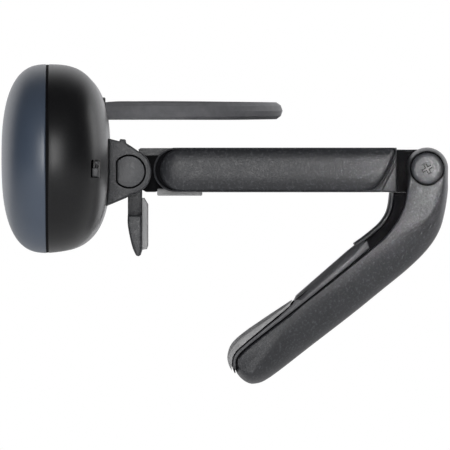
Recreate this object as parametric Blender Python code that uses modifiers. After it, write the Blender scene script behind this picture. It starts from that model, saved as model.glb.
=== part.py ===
"""Webcam on a folding screen clip: two-part housing, tilt hinge, clip arm, folding leg and USB lead.

World axes: X across the object, -Y the way the lens looks, +Z up.
The origin is the middle of the rest pad's lower face, where the clip sits on a screen's top edge.
"""

import math

import bmesh
import bpy
from mathutils import Matrix, Vector

# ---- driving dimensions, in metres ----

GAP = 0.0003  # between two pieces that touch

# housing
HOUSING_HALF_STRAIGHT = 0.043  # from the middle to where the round ends begin
HOUSING_RADIUS = 0.016
HOUSING_CENTRE_Z = 0.0062
HOUSING_WALL = 0.0016
SEAM_Y = -0.0219
FRONT_DEPTH = 0.0078
FRONT_ROUNDNESS = 2.65  # exponent of the profile's superellipse
REAR_DEPTH = 0.0101
REAR_ROUNDNESS = 2.9
REAR_SLIMMING = 0.045  # share by which the lower rear is slimmer
RIM_STRAIGHT = 0.08  # share of the depth that is straight at the rim
PROFILE_STEPS = 10
END_STEPS = 18

# camera inside the housing
LENS_HOLE_RADIUS = 0.0082
BOARD_Y = -0.0203  # middle of the circuit board
BOARD_SIZE = (0.096, 0.001, 0.019)
MICROPHONE_X = 0.030
STATUS_LIGHT_X = 0.0135
SHELL_SCREW_X = 0.038

# tilt hinge
TILT_Y = -0.00825
TILT_Z = 0.0041
KNUCKLE_RADIUS = 0.00385
EAR_INNER_X = 0.0072
CLIP_HALF_WIDTH = 0.012
PIN_RADIUS = 0.0014
PIN_BORE_RADIUS = 0.0017
PIN_HALF_LENGTH = 0.0104
WASHER_INNER_X = 0.0063
WASHER_THICKNESS = 0.0006
WASHER_RADIUS = 0.0024
CAP_RADIUS = 0.00264
CAP_FLAT_Y = 0.0020  # from the pin's centre to the cap's flat side
CAP_RECESS_X = 0.0107
CAP_INNER_X = 0.0110
CAP_OUTER_X = 0.0121

# clip arm
TONGUE_HALF_WIDTH = 0.006
TONGUE_RADIUS = 0.0033
FRONT_TONGUE_RADIUS = 0.0024  # smaller, because the pin is close to the housing
BEAM_HALF_WIDTH = 0.009
BEAM_FRONT_Y = -0.0041
BEAM_REAR_Y = 0.0376
ARM_BOTTOM_Z = 0.0006
ARM_TOP_Z = 0.0082
COVER_INNER_X = 0.0093
COVER_REAR_TOP = (0.03775, 0.0070)
COVER_REAR_BOTTOM = (0.0345, 0.0006)
REST_PAD_HALF_LENGTH = 0.00425
REST_PAD_HALF_WIDTH = 0.0078
REST_PAD_THICKNESS = 0.0012
LIP_HALF_WIDTH = 0.011

# folding leg
FOLD_Y = 0.0428
FOLD_Z = 0.0046
LEG_HEAD_RADIUS = 0.00365
LEG_RIB_HALF_WIDTH = 0.0085
PIVOT_HEAD_RADIUS = 0.0027

# USB lead
CABLE_DIAMETER = 0.0031
CABLE_X = -0.032
CABLE_Z = 0.0147
COIL_CENTRE = (-0.052, 0.0182)
COIL_OUTER_TURN = 0.0262  # centre line of the outermost turn
COIL_TURNS_PER_LAYER = 5.875
COIL_LOWER_Z = 0.00287
PLUG_X = -0.0885
PLUG_Z = 0.0044

PARTS = "webcam_on_folding_clip"


# ---- scene, materials and bodies ----

for old in list(bpy.data.objects):
    bpy.data.objects.remove(old)

parts = bpy.data.collections.new(PARTS)
cutters = bpy.data.collections.new("cutters")
bpy.context.scene.collection.children.link(parts)
bpy.context.scene.collection.children.link(cutters)


def make_material(name, colour, roughness, metallic=0.0):
    material = bpy.data.materials.new(name)
    material.use_nodes = True
    shader = material.node_tree.nodes["Principled BSDF"]
    shader.inputs["Base Color"].default_value = (*colour, 1.0)
    shader.inputs["Roughness"].default_value = roughness
    shader.inputs["Metallic"].default_value = metallic
    material.diffuse_color = (*colour, 1.0)
    return material


GRAPHITE = make_material("graphite_plastic", (0.055, 0.075, 0.095), 0.45)
BLACK = make_material("black_plastic", (0.012, 0.012, 0.013), 0.5)
CLIP_GREY = make_material("clip_plastic", (0.08, 0.08, 0.088), 0.55)
RUBBER = make_material("dark_rubber", (0.02, 0.02, 0.022), 0.8)
STEEL = make_material("steel", (0.45, 0.45, 0.46), 0.3, 1.0)
CABLE_GREY = make_material("cable_jacket", (0.05, 0.05, 0.055), 0.6)
CIRCUIT = make_material("circuit_board", (0.01, 0.06, 0.03), 0.5)
GLASS = make_material("lens_glass", (0.02, 0.02, 0.03), 0.05)


def make_body(name, location):
    """An empty on a body's joint axis, which its pieces are parented to."""
    empty = bpy.data.objects.new(name, None)
    empty.location = location
    parts.objects.link(empty)
    return empty


ARM = make_body("arm_body", (0.0, 0.0, 0.0))
HEAD = make_body("head_body", (0.0, TILT_Y, TILT_Z))
LEG = make_body("leg_body", (0.0, FOLD_Y, FOLD_Z))


def finish_piece(piece, material, body, bevel=0.0):
    """Gives a piece its material, body, rounded edges and smooth round faces."""
    piece.data.materials.append(material)
    piece.parent = body
    piece.matrix_parent_inverse = Matrix.Translation(-body.location)
    if bevel:
        rounded = piece.modifiers.new("edges", "BEVEL")
        rounded.width = bevel
        rounded.segments = 1
        rounded.limit_method = "ANGLE"
    if piece.type == "MESH":
        piece.data.shade_smooth()
        piece.data.set_sharp_from_angle(angle=math.radians(35))
    return piece


def as_cutter(piece):
    """Moves a helper out of the parts, so that only Booleans use it."""
    for collection in list(piece.users_collection):
        collection.objects.unlink(piece)
    cutters.objects.link(piece)
    piece.hide_render = True
    piece.display_type = "WIRE"
    return piece


def combine(piece, helper, operation="DIFFERENCE"):
    as_cutter(helper)
    boolean = piece.modifiers.new(helper.name, "BOOLEAN")
    boolean.operation = operation
    boolean.solver = "EXACT"
    boolean.object = helper
    return piece


# ---- shapes ----


def box(name, low, high):
    mesh = bpy.data.meshes.new(name)
    shape = bmesh.new()
    bmesh.ops.create_cube(shape, size=1.0)
    low, high = Vector(low), Vector(high)
    bmesh.ops.scale(shape, vec=high - low, verts=shape.verts)
    bmesh.ops.translate(shape, vec=(low + high) / 2, verts=shape.verts)
    shape.to_mesh(mesh)
    shape.free()
    piece = bpy.data.objects.new(name, mesh)
    parts.objects.link(piece)
    return piece


def rod(name, radius, start, end, sides=24):
    """A cylinder between two points."""
    mesh = bpy.data.meshes.new(name)
    shape = bmesh.new()
    start, end = Vector(start), Vector(end)
    along = end - start
    bmesh.ops.create_cone(
        shape, cap_ends=True, segments=sides, radius1=radius, radius2=radius, depth=along.length
    )
    turn = Vector((0.0, 0.0, 1.0)).rotation_difference(along).to_matrix().to_4x4()
    place = Matrix.Translation((start + end) / 2) @ turn
    bmesh.ops.transform(shape, matrix=place, verts=shape.verts)
    shape.to_mesh(mesh)
    shape.free()
    piece = bpy.data.objects.new(name, mesh)
    parts.objects.link(piece)
    return piece


TURNED_AXES = {
    "Y": (math.radians(-90), 0.0, 0.0),  # the profile's height runs along +Y
    "X": (0.0, math.radians(90), 0.0),
    "Z": (0.0, 0.0, 0.0),
}


def turned(name, profile, centre, axis="Y", steps=32, closed=False):
    """A profile of (radius, height) turned about an axis through the centre.

    The profile runs down its outer side. A closed one makes a ring.
    """
    mesh = bpy.data.meshes.new(name)
    count = len(profile)
    edges = [(i, i + 1) for i in range(count - 1)]
    if closed:
        edges.append((count - 1, 0))
    mesh.from_pydata([(radius, 0.0, height) for radius, height in profile], edges, [])
    piece = bpy.data.objects.new(name, mesh)
    piece.location = centre
    piece.rotation_euler = TURNED_AXES[axis]
    parts.objects.link(piece)
    screw = piece.modifiers.new("turned", "SCREW")
    screw.steps = steps
    screw.render_steps = steps
    screw.use_merge_vertices = True
    screw.merge_threshold = 0.00001
    screw.use_smooth_shade = True
    return piece


def ring(name, outer, inner, low, high, centre, axis="Y", steps=32):
    profile = [(outer, high), (outer, low), (inner, low), (inner, high)]
    return turned(name, profile, centre, axis, steps, closed=True)


def disc(name, radius, low, high, centre, axis="Y", steps=32):
    profile = [(0.0, high), (radius, high), (radius, low), (0.0, low)]
    return turned(name, profile, centre, axis, steps)


def arc(centre, radius, start, end, steps):
    """Points of (y, z) on an arc, by angles in degrees from +Y towards +Z."""
    found = []
    for step in range(steps + 1):
        angle = math.radians(start + (end - start) * step / steps)
        found.append((centre[0] + radius * math.cos(angle), centre[1] + radius * math.sin(angle)))
    return found


def in_metres(points):
    return [(y / 1000, z / 1000) for y, z in points]


def slab(name, outline, low_x, high_x):
    """A flat outline of (y, z) points that spans low_x to high_x, as a mesh."""
    curve = bpy.data.curves.new(name + "_outline", "CURVE")
    curve.dimensions = "2D"
    curve.fill_mode = "BOTH"
    curve.extrude = (high_x - low_x) / 2
    spline = curve.splines.new("POLY")
    spline.points.add(len(outline) - 1)
    for point, (y, z) in zip(spline.points, outline):
        point.co = (y, z, 0.0, 1.0)
    spline.use_cyclic_u = True
    drawn = bpy.data.objects.new(name + "_outline", curve)
    parts.objects.link(drawn)
    drawn.location = ((low_x + high_x) / 2, 0.0, 0.0)
    drawn.rotation_euler = (math.radians(90), 0.0, math.radians(90))
    bpy.context.view_layer.update()
    graph = bpy.context.evaluated_depsgraph_get()
    mesh = bpy.data.meshes.new_from_object(drawn.evaluated_get(graph))
    shape = bmesh.new()
    shape.from_mesh(mesh)
    bmesh.ops.remove_doubles(shape, verts=shape.verts, dist=0.000001)
    bmesh.ops.dissolve_limit(
        shape, angle_limit=math.radians(0.5), verts=shape.verts, edges=shape.edges
    )
    bmesh.ops.recalc_face_normals(shape, faces=shape.faces)
    shape.to_mesh(mesh)
    shape.free()
    mesh.name = name
    piece = bpy.data.objects.new(name, mesh)
    piece.matrix_world = drawn.matrix_world.copy()
    parts.objects.link(piece)
    bpy.data.objects.remove(drawn)
    return piece


# ---- housing ----


def superellipse(share, roundness):
    """How far out the profile is, of 1, at this share of its other axis."""
    return (1.0 - share**roundness) ** (1.0 / roundness)


def rear_face_y(z):
    """Where the rear shell's surface is at this height, on the straight middle."""
    share = min(abs(z - HOUSING_CENTRE_Z) / HOUSING_RADIUS, 1.0)
    return SEAM_Y + REAR_DEPTH * superellipse(share, REAR_ROUNDNESS)


def housing_shell(name, depth, roundness, rim_y, slimming=0.0):
    """One half of the housing: a dome profile swept round the ends and along the middle.

    A positive depth is towards +Y.
    """
    shape = bmesh.new()
    # the wall starts straight at the rim, so that its end is square
    profile = [shape.verts.new((0.0, rim_y, HOUSING_RADIUS))]
    for step in range(PROFILE_STEPS + 1):
        angle = math.radians(90) * step / PROFILE_STEPS
        radius_share = math.cos(angle) ** (2.0 / roundness)
        depth_share = math.sin(angle) ** (2.0 / roundness)
        if step == PROFILE_STEPS:
            radius_share = 0.0
        y = SEAM_Y + depth * max(depth_share, RIM_STRAIGHT)
        profile.append(shape.verts.new((0.0, y, HOUSING_RADIUS * radius_share)))
    edges = [shape.edges.new(pair) for pair in zip(profile, profile[1:])]
    bmesh.ops.spin(
        shape,
        geom=profile + edges,
        cent=(0.0, 0.0, 0.0),
        axis=(0.0, 1.0, 0.0),
        angle=math.radians(180),
        steps=END_STEPS,
    )
    bmesh.ops.remove_doubles(shape, verts=shape.verts, dist=0.00001)
    bmesh.ops.translate(shape, vec=(HOUSING_HALF_STRAIGHT, 0.0, 0.0), verts=shape.verts)
    middle = [
        edge
        for edge in shape.edges
        if edge.is_boundary and all(abs(v.co.x - HOUSING_HALF_STRAIGHT) < 0.00001 for v in edge.verts)
    ]
    drawn = bmesh.ops.extrude_edge_only(shape, edges=middle)["geom"]
    new_verts = [item for item in drawn if isinstance(item, bmesh.types.BMVert)]
    bmesh.ops.translate(shape, vec=(-HOUSING_HALF_STRAIGHT, 0.0, 0.0), verts=new_verts)
    for vert in shape.verts:
        along = (vert.co.y - SEAM_Y) / depth
        if vert.co.z < 0.0:
            vert.co.z *= 1.0 - slimming * max(along, 0.0)
        vert.co.z += HOUSING_CENTRE_Z
    bmesh.ops.recalc_face_normals(shape, faces=shape.faces)
    shape.normal_update()
    outward = sum(face.normal.y * face.calc_area() for face in shape.faces)
    if outward * depth < 0.0:
        bmesh.ops.reverse_faces(shape, faces=shape.faces)
    mesh = bpy.data.meshes.new(name)
    shape.to_mesh(mesh)
    shape.free()
    piece = bpy.data.objects.new(name, mesh)
    parts.objects.link(piece)
    mirror = piece.modifiers.new("other_end", "MIRROR")
    mirror.merge_threshold = 0.00001
    wall = piece.modifiers.new("wall", "SOLIDIFY")
    wall.thickness = HOUSING_WALL
    wall.offset = -1.0
    wall.use_even_offset = True
    return piece


SCREW_POINTS = (("left", -SHELL_SCREW_X), ("right", SHELL_SCREW_X))


def make_front_shell():
    shell = housing_shell("front_shell", -FRONT_DEPTH, FRONT_ROUNDNESS, SEAM_Y - GAP / 2)
    z = HOUSING_CENTRE_Z
    for side, x in SCREW_POINTS:
        boss = rod("front_boss_" + side, 0.0028, (x, -0.0288, z), (x, -0.0211, z))
        combine(shell, boss, "UNION")
    for side, x in SCREW_POINTS:
        pilot = rod("front_pilot_" + side, 0.0014, (x, -0.0268, z), (x, -0.0200, z))
        combine(shell, pilot)
    hole = rod("lens_hole", LENS_HOLE_RADIUS, (0.0, -0.032, z), (0.0, -0.0225, z), 40)
    combine(shell, hole)
    for side, x in (("left", -MICROPHONE_X), ("right", MICROPHONE_X)):
        sound = rod("sound_hole_" + side, 0.0006, (x, -0.032, z), (x, -0.0225, z), 12)
        combine(shell, sound)
    light = rod(
        "light_hole", 0.0011, (STATUS_LIGHT_X, -0.032, z), (STATUS_LIGHT_X, -0.0225, z), 16
    )
    combine(shell, light)
    finish_piece(shell, GRAPHITE, HEAD)


def make_rear_shell():
    shell = housing_shell("rear_shell", REAR_DEPTH, REAR_ROUNDNESS, SEAM_Y + GAP / 2, REAR_SLIMMING)
    z = HOUSING_CENTRE_Z
    for side, x in SCREW_POINTS:
        boss = rod("rear_boss_" + side, 0.0034, (x, -0.0195, z), (x, -0.0128, z))
        combine(shell, boss, "UNION")
    for side, x in SCREW_POINTS:
        combine(shell, rod("screw_way_" + side, 0.0014, (x, -0.021, z), (x, -0.010, z)))
        combine(shell, rod("screw_recess_" + side, 0.0025, (x, -0.0160, z), (x, -0.010, z)))
    for side, x in (("left", -0.0572), ("right", 0.0572)):
        window = box("snap_window_" + side, (x - 0.006, -0.01445, 0.0029), (x + 0.006, -0.0129, 0.00595))
        combine(shell, window)
    way = rod("cable_way", 0.0026, (CABLE_X, -0.018, CABLE_Z), (CABLE_X, -0.009, CABLE_Z))
    combine(shell, way)
    for side, x in (("left", -0.0096), ("right", 0.0096)):
        hole = rod("bracket_screw_way_" + side, 0.0012, (x, -0.018, 0.0077), (x, -0.010, 0.0077), 16)
        combine(shell, hole)
    finish_piece(shell, BLACK, HEAD)


def make_housing_fittings():
    z = HOUSING_CENTRE_Z
    for side, x in SCREW_POINTS:
        # the head's bearing face looks to -Y, into the housing
        profile = [(0.0, 0.0017), (0.0018, 0.0017), (0.0022, 0.0013), (0.0022, 0.0)]
        profile += [(0.0010, 0.0), (0.0010, -0.0096), (0.0, -0.0096)]
        screw = turned("shell_screw_" + side, profile, (x, -0.0157, z), "Y", 20)
        finish_piece(screw, STEEL, HEAD)
    for side, sign in (("left", -1), ("right", 1)):
        inner, outer = sorted((sign * 0.0515, sign * 0.0546))
        tab = box("snap_tab_" + side, (inner, -0.01425, 0.0031), (outer, -0.0132, 0.0046))
        finish_piece(tab, CLIP_GREY, HEAD, 0.0002)
    grommet = ring("cable_grommet", 0.0023, 0.0018, -0.0022, 0.0, (CABLE_X, -0.0130, CABLE_Z), "Y", 24)
    finish_piece(grommet, RUBBER, HEAD)


def make_camera():
    z = HOUSING_CENTRE_Z
    board_front = BOARD_Y - BOARD_SIZE[1] / 2
    half = Vector(BOARD_SIZE) / 2
    middle = Vector((0.0, BOARD_Y, z))
    board = box("main_board", middle - half, middle + half)
    for side, x in SCREW_POINTS:
        combine(board, rod("board_hole_" + side, 0.0014, (x, -0.022, z), (x, -0.019, z)))
    finish_piece(board, CIRCUIT, HEAD)

    chip_front = board_front - GAP - 0.0007
    chip = box("image_sensor", (-0.003, chip_front, z - 0.0025), (0.003, board_front - GAP, z + 0.0025))
    finish_piece(chip, BLACK, HEAD)

    holder = box(
        "lens_holder", (-0.0055, -0.0252, z - 0.0055), (0.0055, board_front - GAP, z + 0.0055)
    )
    pocket = box("sensor_pocket", (-0.004, chip_front - 0.001, z - 0.004), (0.004, -0.0200, z + 0.004))
    combine(holder, pocket)
    combine(holder, rod("barrel_way", 0.0039, (0.0, -0.027, z), (0.0, -0.0215, z)))
    finish_piece(holder, BLACK, HEAD)

    # the barrel screws into the holder, flange outwards
    profile = [(0.0048, -0.0255), (0.0048, -0.0268), (0.0029, -0.0268), (0.0029, -0.0258)]
    profile += [(0.0024, -0.0256), (0.0024, -0.0226), (0.0036, -0.0226), (0.0036, -0.0255)]
    barrel = turned("lens_barrel", profile[::-1], (0.0, 0.0, z), "Y", 32, closed=True)
    flip_turned(barrel)
    finish_piece(barrel, BLACK, HEAD)

    dome = [(0.0, -0.0261), (0.0026, -0.0261), (0.0026, -0.0263), (0.0016, -0.0268), (0.0, -0.0270)]
    element = turned("lens_element", dome, (0.0, 0.0, z), "Y", 24)
    finish_piece(element, GLASS, HEAD)

    cover = disc("lens_window", 0.0062, -0.0281, -0.0273, (0.0, 0.0, z))
    finish_piece(cover, GLASS, HEAD)

    # funnel round the lens, its front edge level with the housing's face
    profile = [(0.0079, -0.0262), (0.0079, -0.02925), (0.0074, -0.0296), (0.0068, -0.0296)]
    profile += [(0.0057, -0.0285), (0.0057, -0.0284), (0.0066, -0.0284), (0.0066, -0.0262)]
    bezel = turned("lens_bezel", profile, (0.0, 0.0, z), "Y", 40, closed=True)
    finish_piece(bezel, BLACK, HEAD)

    for side, x in (("left", -MICROPHONE_X), ("right", MICROPHONE_X)):
        capsule = box(
            "microphone_" + side,
            (x - 0.0019, board_front - GAP - 0.0011, z - 0.0014),
            (x + 0.0019, board_front - GAP, z + 0.0014),
        )
        finish_piece(capsule, STEEL, HEAD)
    led_front = board_front - GAP - 0.0008
    led = box(
        "status_led",
        (STATUS_LIGHT_X - 0.0008, led_front, z - 0.0006),
        (STATUS_LIGHT_X + 0.0008, board_front - GAP, z + 0.0006),
    )
    finish_piece(led, GLASS, HEAD)
    pipe = disc("status_light", 0.0008, -0.0292, led_front - GAP, (STATUS_LIGHT_X, 0.0, z), "Y", 16)
    finish_piece(pipe, GLASS, HEAD)


def flip_turned(piece):
    """Turns the faces of a turned piece the other way round."""
    piece.modifiers["turned"].use_normal_flip = True


# ---- tilt hinge ----


def make_hinge_bracket():
    """The plate on the rear shell with two ears round the tilt pin."""
    shell_side = []
    for step in range(7):
        z = 0.0098 - (0.0098 + 0.0018) * step / 6
        shell_side.append((rear_face_y(z) + GAP, z))
    top = in_metres([(-8.85, 9.1), (-8.85, 9.7), (-9.8, 9.75)])
    round_end = arc((TILT_Y, TILT_Z), KNUCKLE_RADIUS, -80, 72, 12)
    under = in_metres([(-8.9, -0.45)])
    outline = shell_side + under + round_end + top
    bracket = slab("hinge_bracket", outline, -CLIP_HALF_WIDTH, CLIP_HALF_WIDTH)
    # the arm's tongue turns between the ears
    slot = box("ear_slot", (-EAR_INNER_X, -0.01095, -0.004), (EAR_INNER_X, 0.0, 0.012))
    combine(bracket, slot)
    # and its neck swings through the plate's lower part
    neck_way = box("neck_way", (-EAR_INNER_X, -0.014, -0.004), (EAR_INNER_X, -0.0100, 0.0018))
    combine(bracket, neck_way)
    pin_way = rod("tilt_pin_way", PIN_BORE_RADIUS, (-0.014, TILT_Y, TILT_Z), (0.014, TILT_Y, TILT_Z))
    combine(bracket, pin_way)
    for side, sign in (("left", -1), ("right", 1)):
        inner, outer = sorted((sign * CAP_RECESS_X, sign * 0.014))
        recess = slab("cap_recess_" + side, cap_outline(GAP), inner, outer)
        combine(bracket, recess)
    for side, x in (("left", -0.0096), ("right", 0.0096)):
        pilot = rod("bracket_pilot_" + side, 0.0011, (x, -0.014, 0.0077), (x, -0.0088, 0.0077), 16)
        combine(bracket, pilot)
    finish_piece(bracket, CLIP_GREY, HEAD)
    for side, x in (("left", -0.0096), ("right", 0.0096)):
        profile = [(0.0, 0.0045), (0.0008, 0.0045), (0.0008, 0.0), (0.0017, 0.0)]
        profile += [(0.0017, -0.0010), (0.0, -0.0010)]
        screw = turned("bracket_screw_" + side, profile, (x, -0.0137, 0.0077), "Y", 16)
        finish_piece(screw, STEEL, HEAD)


def cap_outline(margin=0.0):
    """The hinge cap's D shape: round towards the arm, flat towards the housing."""
    radius = CAP_RADIUS + margin
    flat = CAP_FLAT_Y + margin
    reach = math.degrees(math.acos(-flat / radius))
    return arc((TILT_Y, TILT_Z), radius, -reach, reach, 18)


def make_tilt_hinge():
    make_hinge_bracket()
    pin = disc("tilt_pin", PIN_RADIUS, -PIN_HALF_LENGTH, PIN_HALF_LENGTH, (0.0, TILT_Y, TILT_Z), "X", 24)
    finish_piece(pin, STEEL, HEAD)
    for side, sign in (("left", -1), ("right", 1)):
        inner, outer = sorted((sign * CAP_INNER_X, sign * CAP_OUTER_X))
        finish_piece(slab("hinge_cap_" + side, cap_outline(), inner, outer), CLIP_GREY, HEAD, 0.0002)
        make_washer("tilt_washer_" + side, sign, (TILT_Y, TILT_Z))


def make_washer(name, sign, centre):
    """A friction washer between the arm's tongue and the ear beside it."""
    low, high = sorted((sign * WASHER_INNER_X, sign * (WASHER_INNER_X + WASHER_THICKNESS)))
    washer = ring(name, WASHER_RADIUS, PIN_BORE_RADIUS, low, high, (0.0, *centre), "X", 24)
    finish_piece(washer, STEEL, ARM)


# ---- clip arm ----


def make_arm_frame():
    """Tongue, beam, lip and rear shoulder, moulded as one piece."""
    beam = box(
        "arm_frame", (-BEAM_HALF_WIDTH, BEAM_FRONT_Y, ARM_BOTTOM_Z), (BEAM_HALF_WIDTH, BEAM_REAR_Y, ARM_TOP_Z)
    )
    front = arc((TILT_Y, TILT_Z), FRONT_TONGUE_RADIUS, 90, 270, 12)
    front += [(-0.0064, 0.0012), (-0.0030, 0.0012), (-0.0030, 0.0071), (-0.0060, 0.0071)]
    combine(beam, slab("front_tongue", front, -TONGUE_HALF_WIDTH, TONGUE_HALF_WIDTH), "UNION")
    neck = box("lip_neck", (-TONGUE_HALF_WIDTH, -0.0085, -0.0038), (TONGUE_HALF_WIDTH, -0.0064, 0.0024))
    combine(beam, neck, "UNION")
    lip = in_metres([(-8.5, -3.4), (-8.5, -4.9), (-8.15, -7.0), (-7.65, -9.0), (-7.1, -10.2)])
    lip += in_metres([(-6.7, -10.4), (-6.4, -10.3), (-6.4, -3.4)])
    combine(beam, slab("clip_lip", lip, -LIP_HALF_WIDTH, LIP_HALF_WIDTH), "UNION")
    rear = arc((FOLD_Y, FOLD_Z), TONGUE_RADIUS, 90, -90, 12)
    rear += [(0.0365, 0.0013), (0.0365, 0.0079)]
    combine(beam, slab("rear_tongue", rear, -TONGUE_HALF_WIDTH, TONGUE_HALF_WIDTH), "UNION")
    shoulder = in_metres([(34.9, 0.65), (37.5, 0.65), (37.5, 5.7)])
    combine(beam, slab("rear_shoulder", shoulder, -0.0115, 0.0115), "UNION")
    for name, y, z in (("tilt", TILT_Y, TILT_Z), ("fold", FOLD_Y, FOLD_Z)):
        combine(beam, rod(name + "_tongue_bore", PIN_BORE_RADIUS, (-0.014, y, z), (0.014, y, z)))
    pocket = box(
        "rest_pad_pocket",
        (-REST_PAD_HALF_WIDTH - GAP, -REST_PAD_HALF_LENGTH + 0.0005, -0.001),
        (REST_PAD_HALF_WIDTH + GAP, REST_PAD_HALF_LENGTH + GAP, REST_PAD_THICKNESS + GAP),
    )
    combine(beam, pocket)
    finish_piece(beam, CLIP_GREY, ARM)


def cover_outline():
    """The side cover: a round front end and a slanted rear end."""
    middle_z = (ARM_TOP_Z + ARM_BOTTOM_Z) / 2
    radius = (ARM_TOP_Z - ARM_BOTTOM_Z) / 2
    outline = arc((BEAM_FRONT_Y + radius, middle_z), radius, 90, 270, 14)
    outline += [(COVER_REAR_BOTTOM[0] - 0.0008, ARM_BOTTOM_Z), (COVER_REAR_BOTTOM[0], ARM_BOTTOM_Z + 0.0006)]
    outline += [COVER_REAR_TOP, (COVER_REAR_TOP[0] - 0.0011, ARM_TOP_Z)]
    return outline


def make_arm():
    make_arm_frame()
    for side, sign in (("left", -1), ("right", 1)):
        inner, outer = sorted((sign * COVER_INNER_X, sign * CLIP_HALF_WIDTH))
        cover = slab("arm_cover_" + side, cover_outline(), inner, outer)
        notch = slab("shoulder_notch_" + side, shoulder_clearance(), inner - 0.001, outer + 0.001)
        combine(cover, notch)
        finish_piece(cover, CLIP_GREY, ARM, 0.0004)
    pad = box(
        "rest_pad",
        (-REST_PAD_HALF_WIDTH, -REST_PAD_HALF_LENGTH + 0.0008, 0.0),
        (REST_PAD_HALF_WIDTH, REST_PAD_HALF_LENGTH, REST_PAD_THICKNESS),
    )
    finish_piece(pad, RUBBER, ARM)
    outline = in_metres([(-6.1, -0.4), (-6.1, -9.3), (-5.3, -9.2), (-5.1, -8.6), (-5.1, -1.5), (-5.7, -0.4)])
    finish_piece(slab("lip_pad", outline, -0.0105, 0.0105), RUBBER, ARM)


def shoulder_clearance():
    """Keeps the cover's slanted end clear of the frame's shoulder."""
    return in_metres([(34.4, -1.0), (40.0, -1.0), (40.0, 6.2), (37.4, 6.2), (34.4, 0.9)])


# ---- folding leg ----


LEG_OUTER = [  # from the head down the back, round the tip
    (46.38, 0.6),
    (45.85, -2.9),
    (44.9, -6.1),
    (42.6, -9.35),
    (40.9, -10.4),
    (39.6, -12.25),
    (29.9, -20.4),
    (16.0, -31.1),
    (13.4, -32.3),
    (11.75, -31.95),
    (9.9, -30.1),
    (10.4, -27.9),
]


def make_leg_shell():
    outline = arc((FOLD_Y, FOLD_Z), LEG_HEAD_RADIUS, 200, -4, 16)
    outline += in_metres(LEG_OUTER)
    outline += in_metres([(20.0, -19.95), (33.3, -9.2), (39.4, 0.6)])
    shell = slab("leg_shell", outline, -CLIP_HALF_WIDTH, CLIP_HALF_WIDTH)
    # the narrower rib inside the bend
    rib = in_metres([(36.7, 0.2), (36.5, -1.9), (35.7, -4.2), (34.2, -5.8), (32.9, -7.4)])
    rib += in_metres([(34.0, -9.5), (41.0, -6.0), (41.5, 0.2)])
    combine(shell, slab("leg_rib", rib, -LEG_RIB_HALF_WIDTH, LEG_RIB_HALF_WIDTH), "UNION")
    slot = arc((FOLD_Y, FOLD_Z), 0.0042, 90, -90, 12)
    slot += [(0.0330, 0.0004), (0.0330, 0.0120)]
    combine(shell, slab("tongue_slot", slot, -EAR_INNER_X, EAR_INNER_X))
    combine(shell, rod("fold_pin_way", PIN_BORE_RADIUS, (-0.014, FOLD_Y, FOLD_Z), (0.014, FOLD_Y, FOLD_Z)))
    for side, sign in (("left", -1), ("right", 1)):
        start, end = (sign * CAP_RECESS_X, FOLD_Y, FOLD_Z), (sign * 0.014, FOLD_Y, FOLD_Z)
        combine(shell, rod("pivot_recess_" + side, PIVOT_HEAD_RADIUS + GAP, start, end, 32))
    finish_piece(shell, CLIP_GREY, LEG)


def make_leg():
    make_leg_shell()
    liner = in_metres([(31.0, -8.5), (32.2, -8.5), (32.6, -9.3), (20.2, -19.35), (20.2, -17.55), (27.4, -11.5)])
    finish_piece(slab("leg_liner", liner[::-1], -CLIP_HALF_WIDTH, CLIP_HALF_WIDTH), CLIP_GREY, LEG)
    pad = in_metres([(19.8, -17.6), (19.8, -19.7), (10.5, -27.4), (9.6, -29.9), (8.9, -28.9)])
    pad += in_metres([(8.6, -27.4), (9.2, -25.3), (11.2, -23.4)])
    finish_piece(slab("leg_pad", pad[::-1], -CLIP_HALF_WIDTH, CLIP_HALF_WIDTH), RUBBER, LEG)

    # the pivot screw's head is on the right and its nut on the left
    shank_end = -CAP_INNER_X + GAP
    profile = [(0.0, CAP_OUTER_X), (0.0022, CAP_OUTER_X), (PIVOT_HEAD_RADIUS, CAP_OUTER_X - 0.0005)]
    profile += [(PIVOT_HEAD_RADIUS, CAP_INNER_X), (PIN_RADIUS, CAP_INNER_X)]
    profile += [(PIN_RADIUS, shank_end), (0.0, shank_end)]
    screw = turned("pivot_screw", profile, (0.0, FOLD_Y, FOLD_Z), "X", 28)
    finish_piece(screw, CLIP_GREY, LEG)
    profile = [(0.0, -CAP_INNER_X), (PIVOT_HEAD_RADIUS, -CAP_INNER_X)]
    profile += [(PIVOT_HEAD_RADIUS, -CAP_OUTER_X + 0.0005), (0.0022, -CAP_OUTER_X), (0.0, -CAP_OUTER_X)]
    nut = turned("pivot_nut", profile, (0.0, FOLD_Y, FOLD_Z), "X", 28)
    finish_piece(nut, CLIP_GREY, LEG)
    for side, sign in (("left", -1), ("right", 1)):
        make_washer("fold_washer_" + side, sign, (FOLD_Y, FOLD_Z))


# ---- USB lead ----

COIL_INNER_TURN = COIL_OUTER_TURN - CABLE_DIAMETER * COIL_TURNS_PER_LAYER
COIL_MIDDLE_Z = COIL_LOWER_Z + CABLE_DIAMETER / 2

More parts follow.
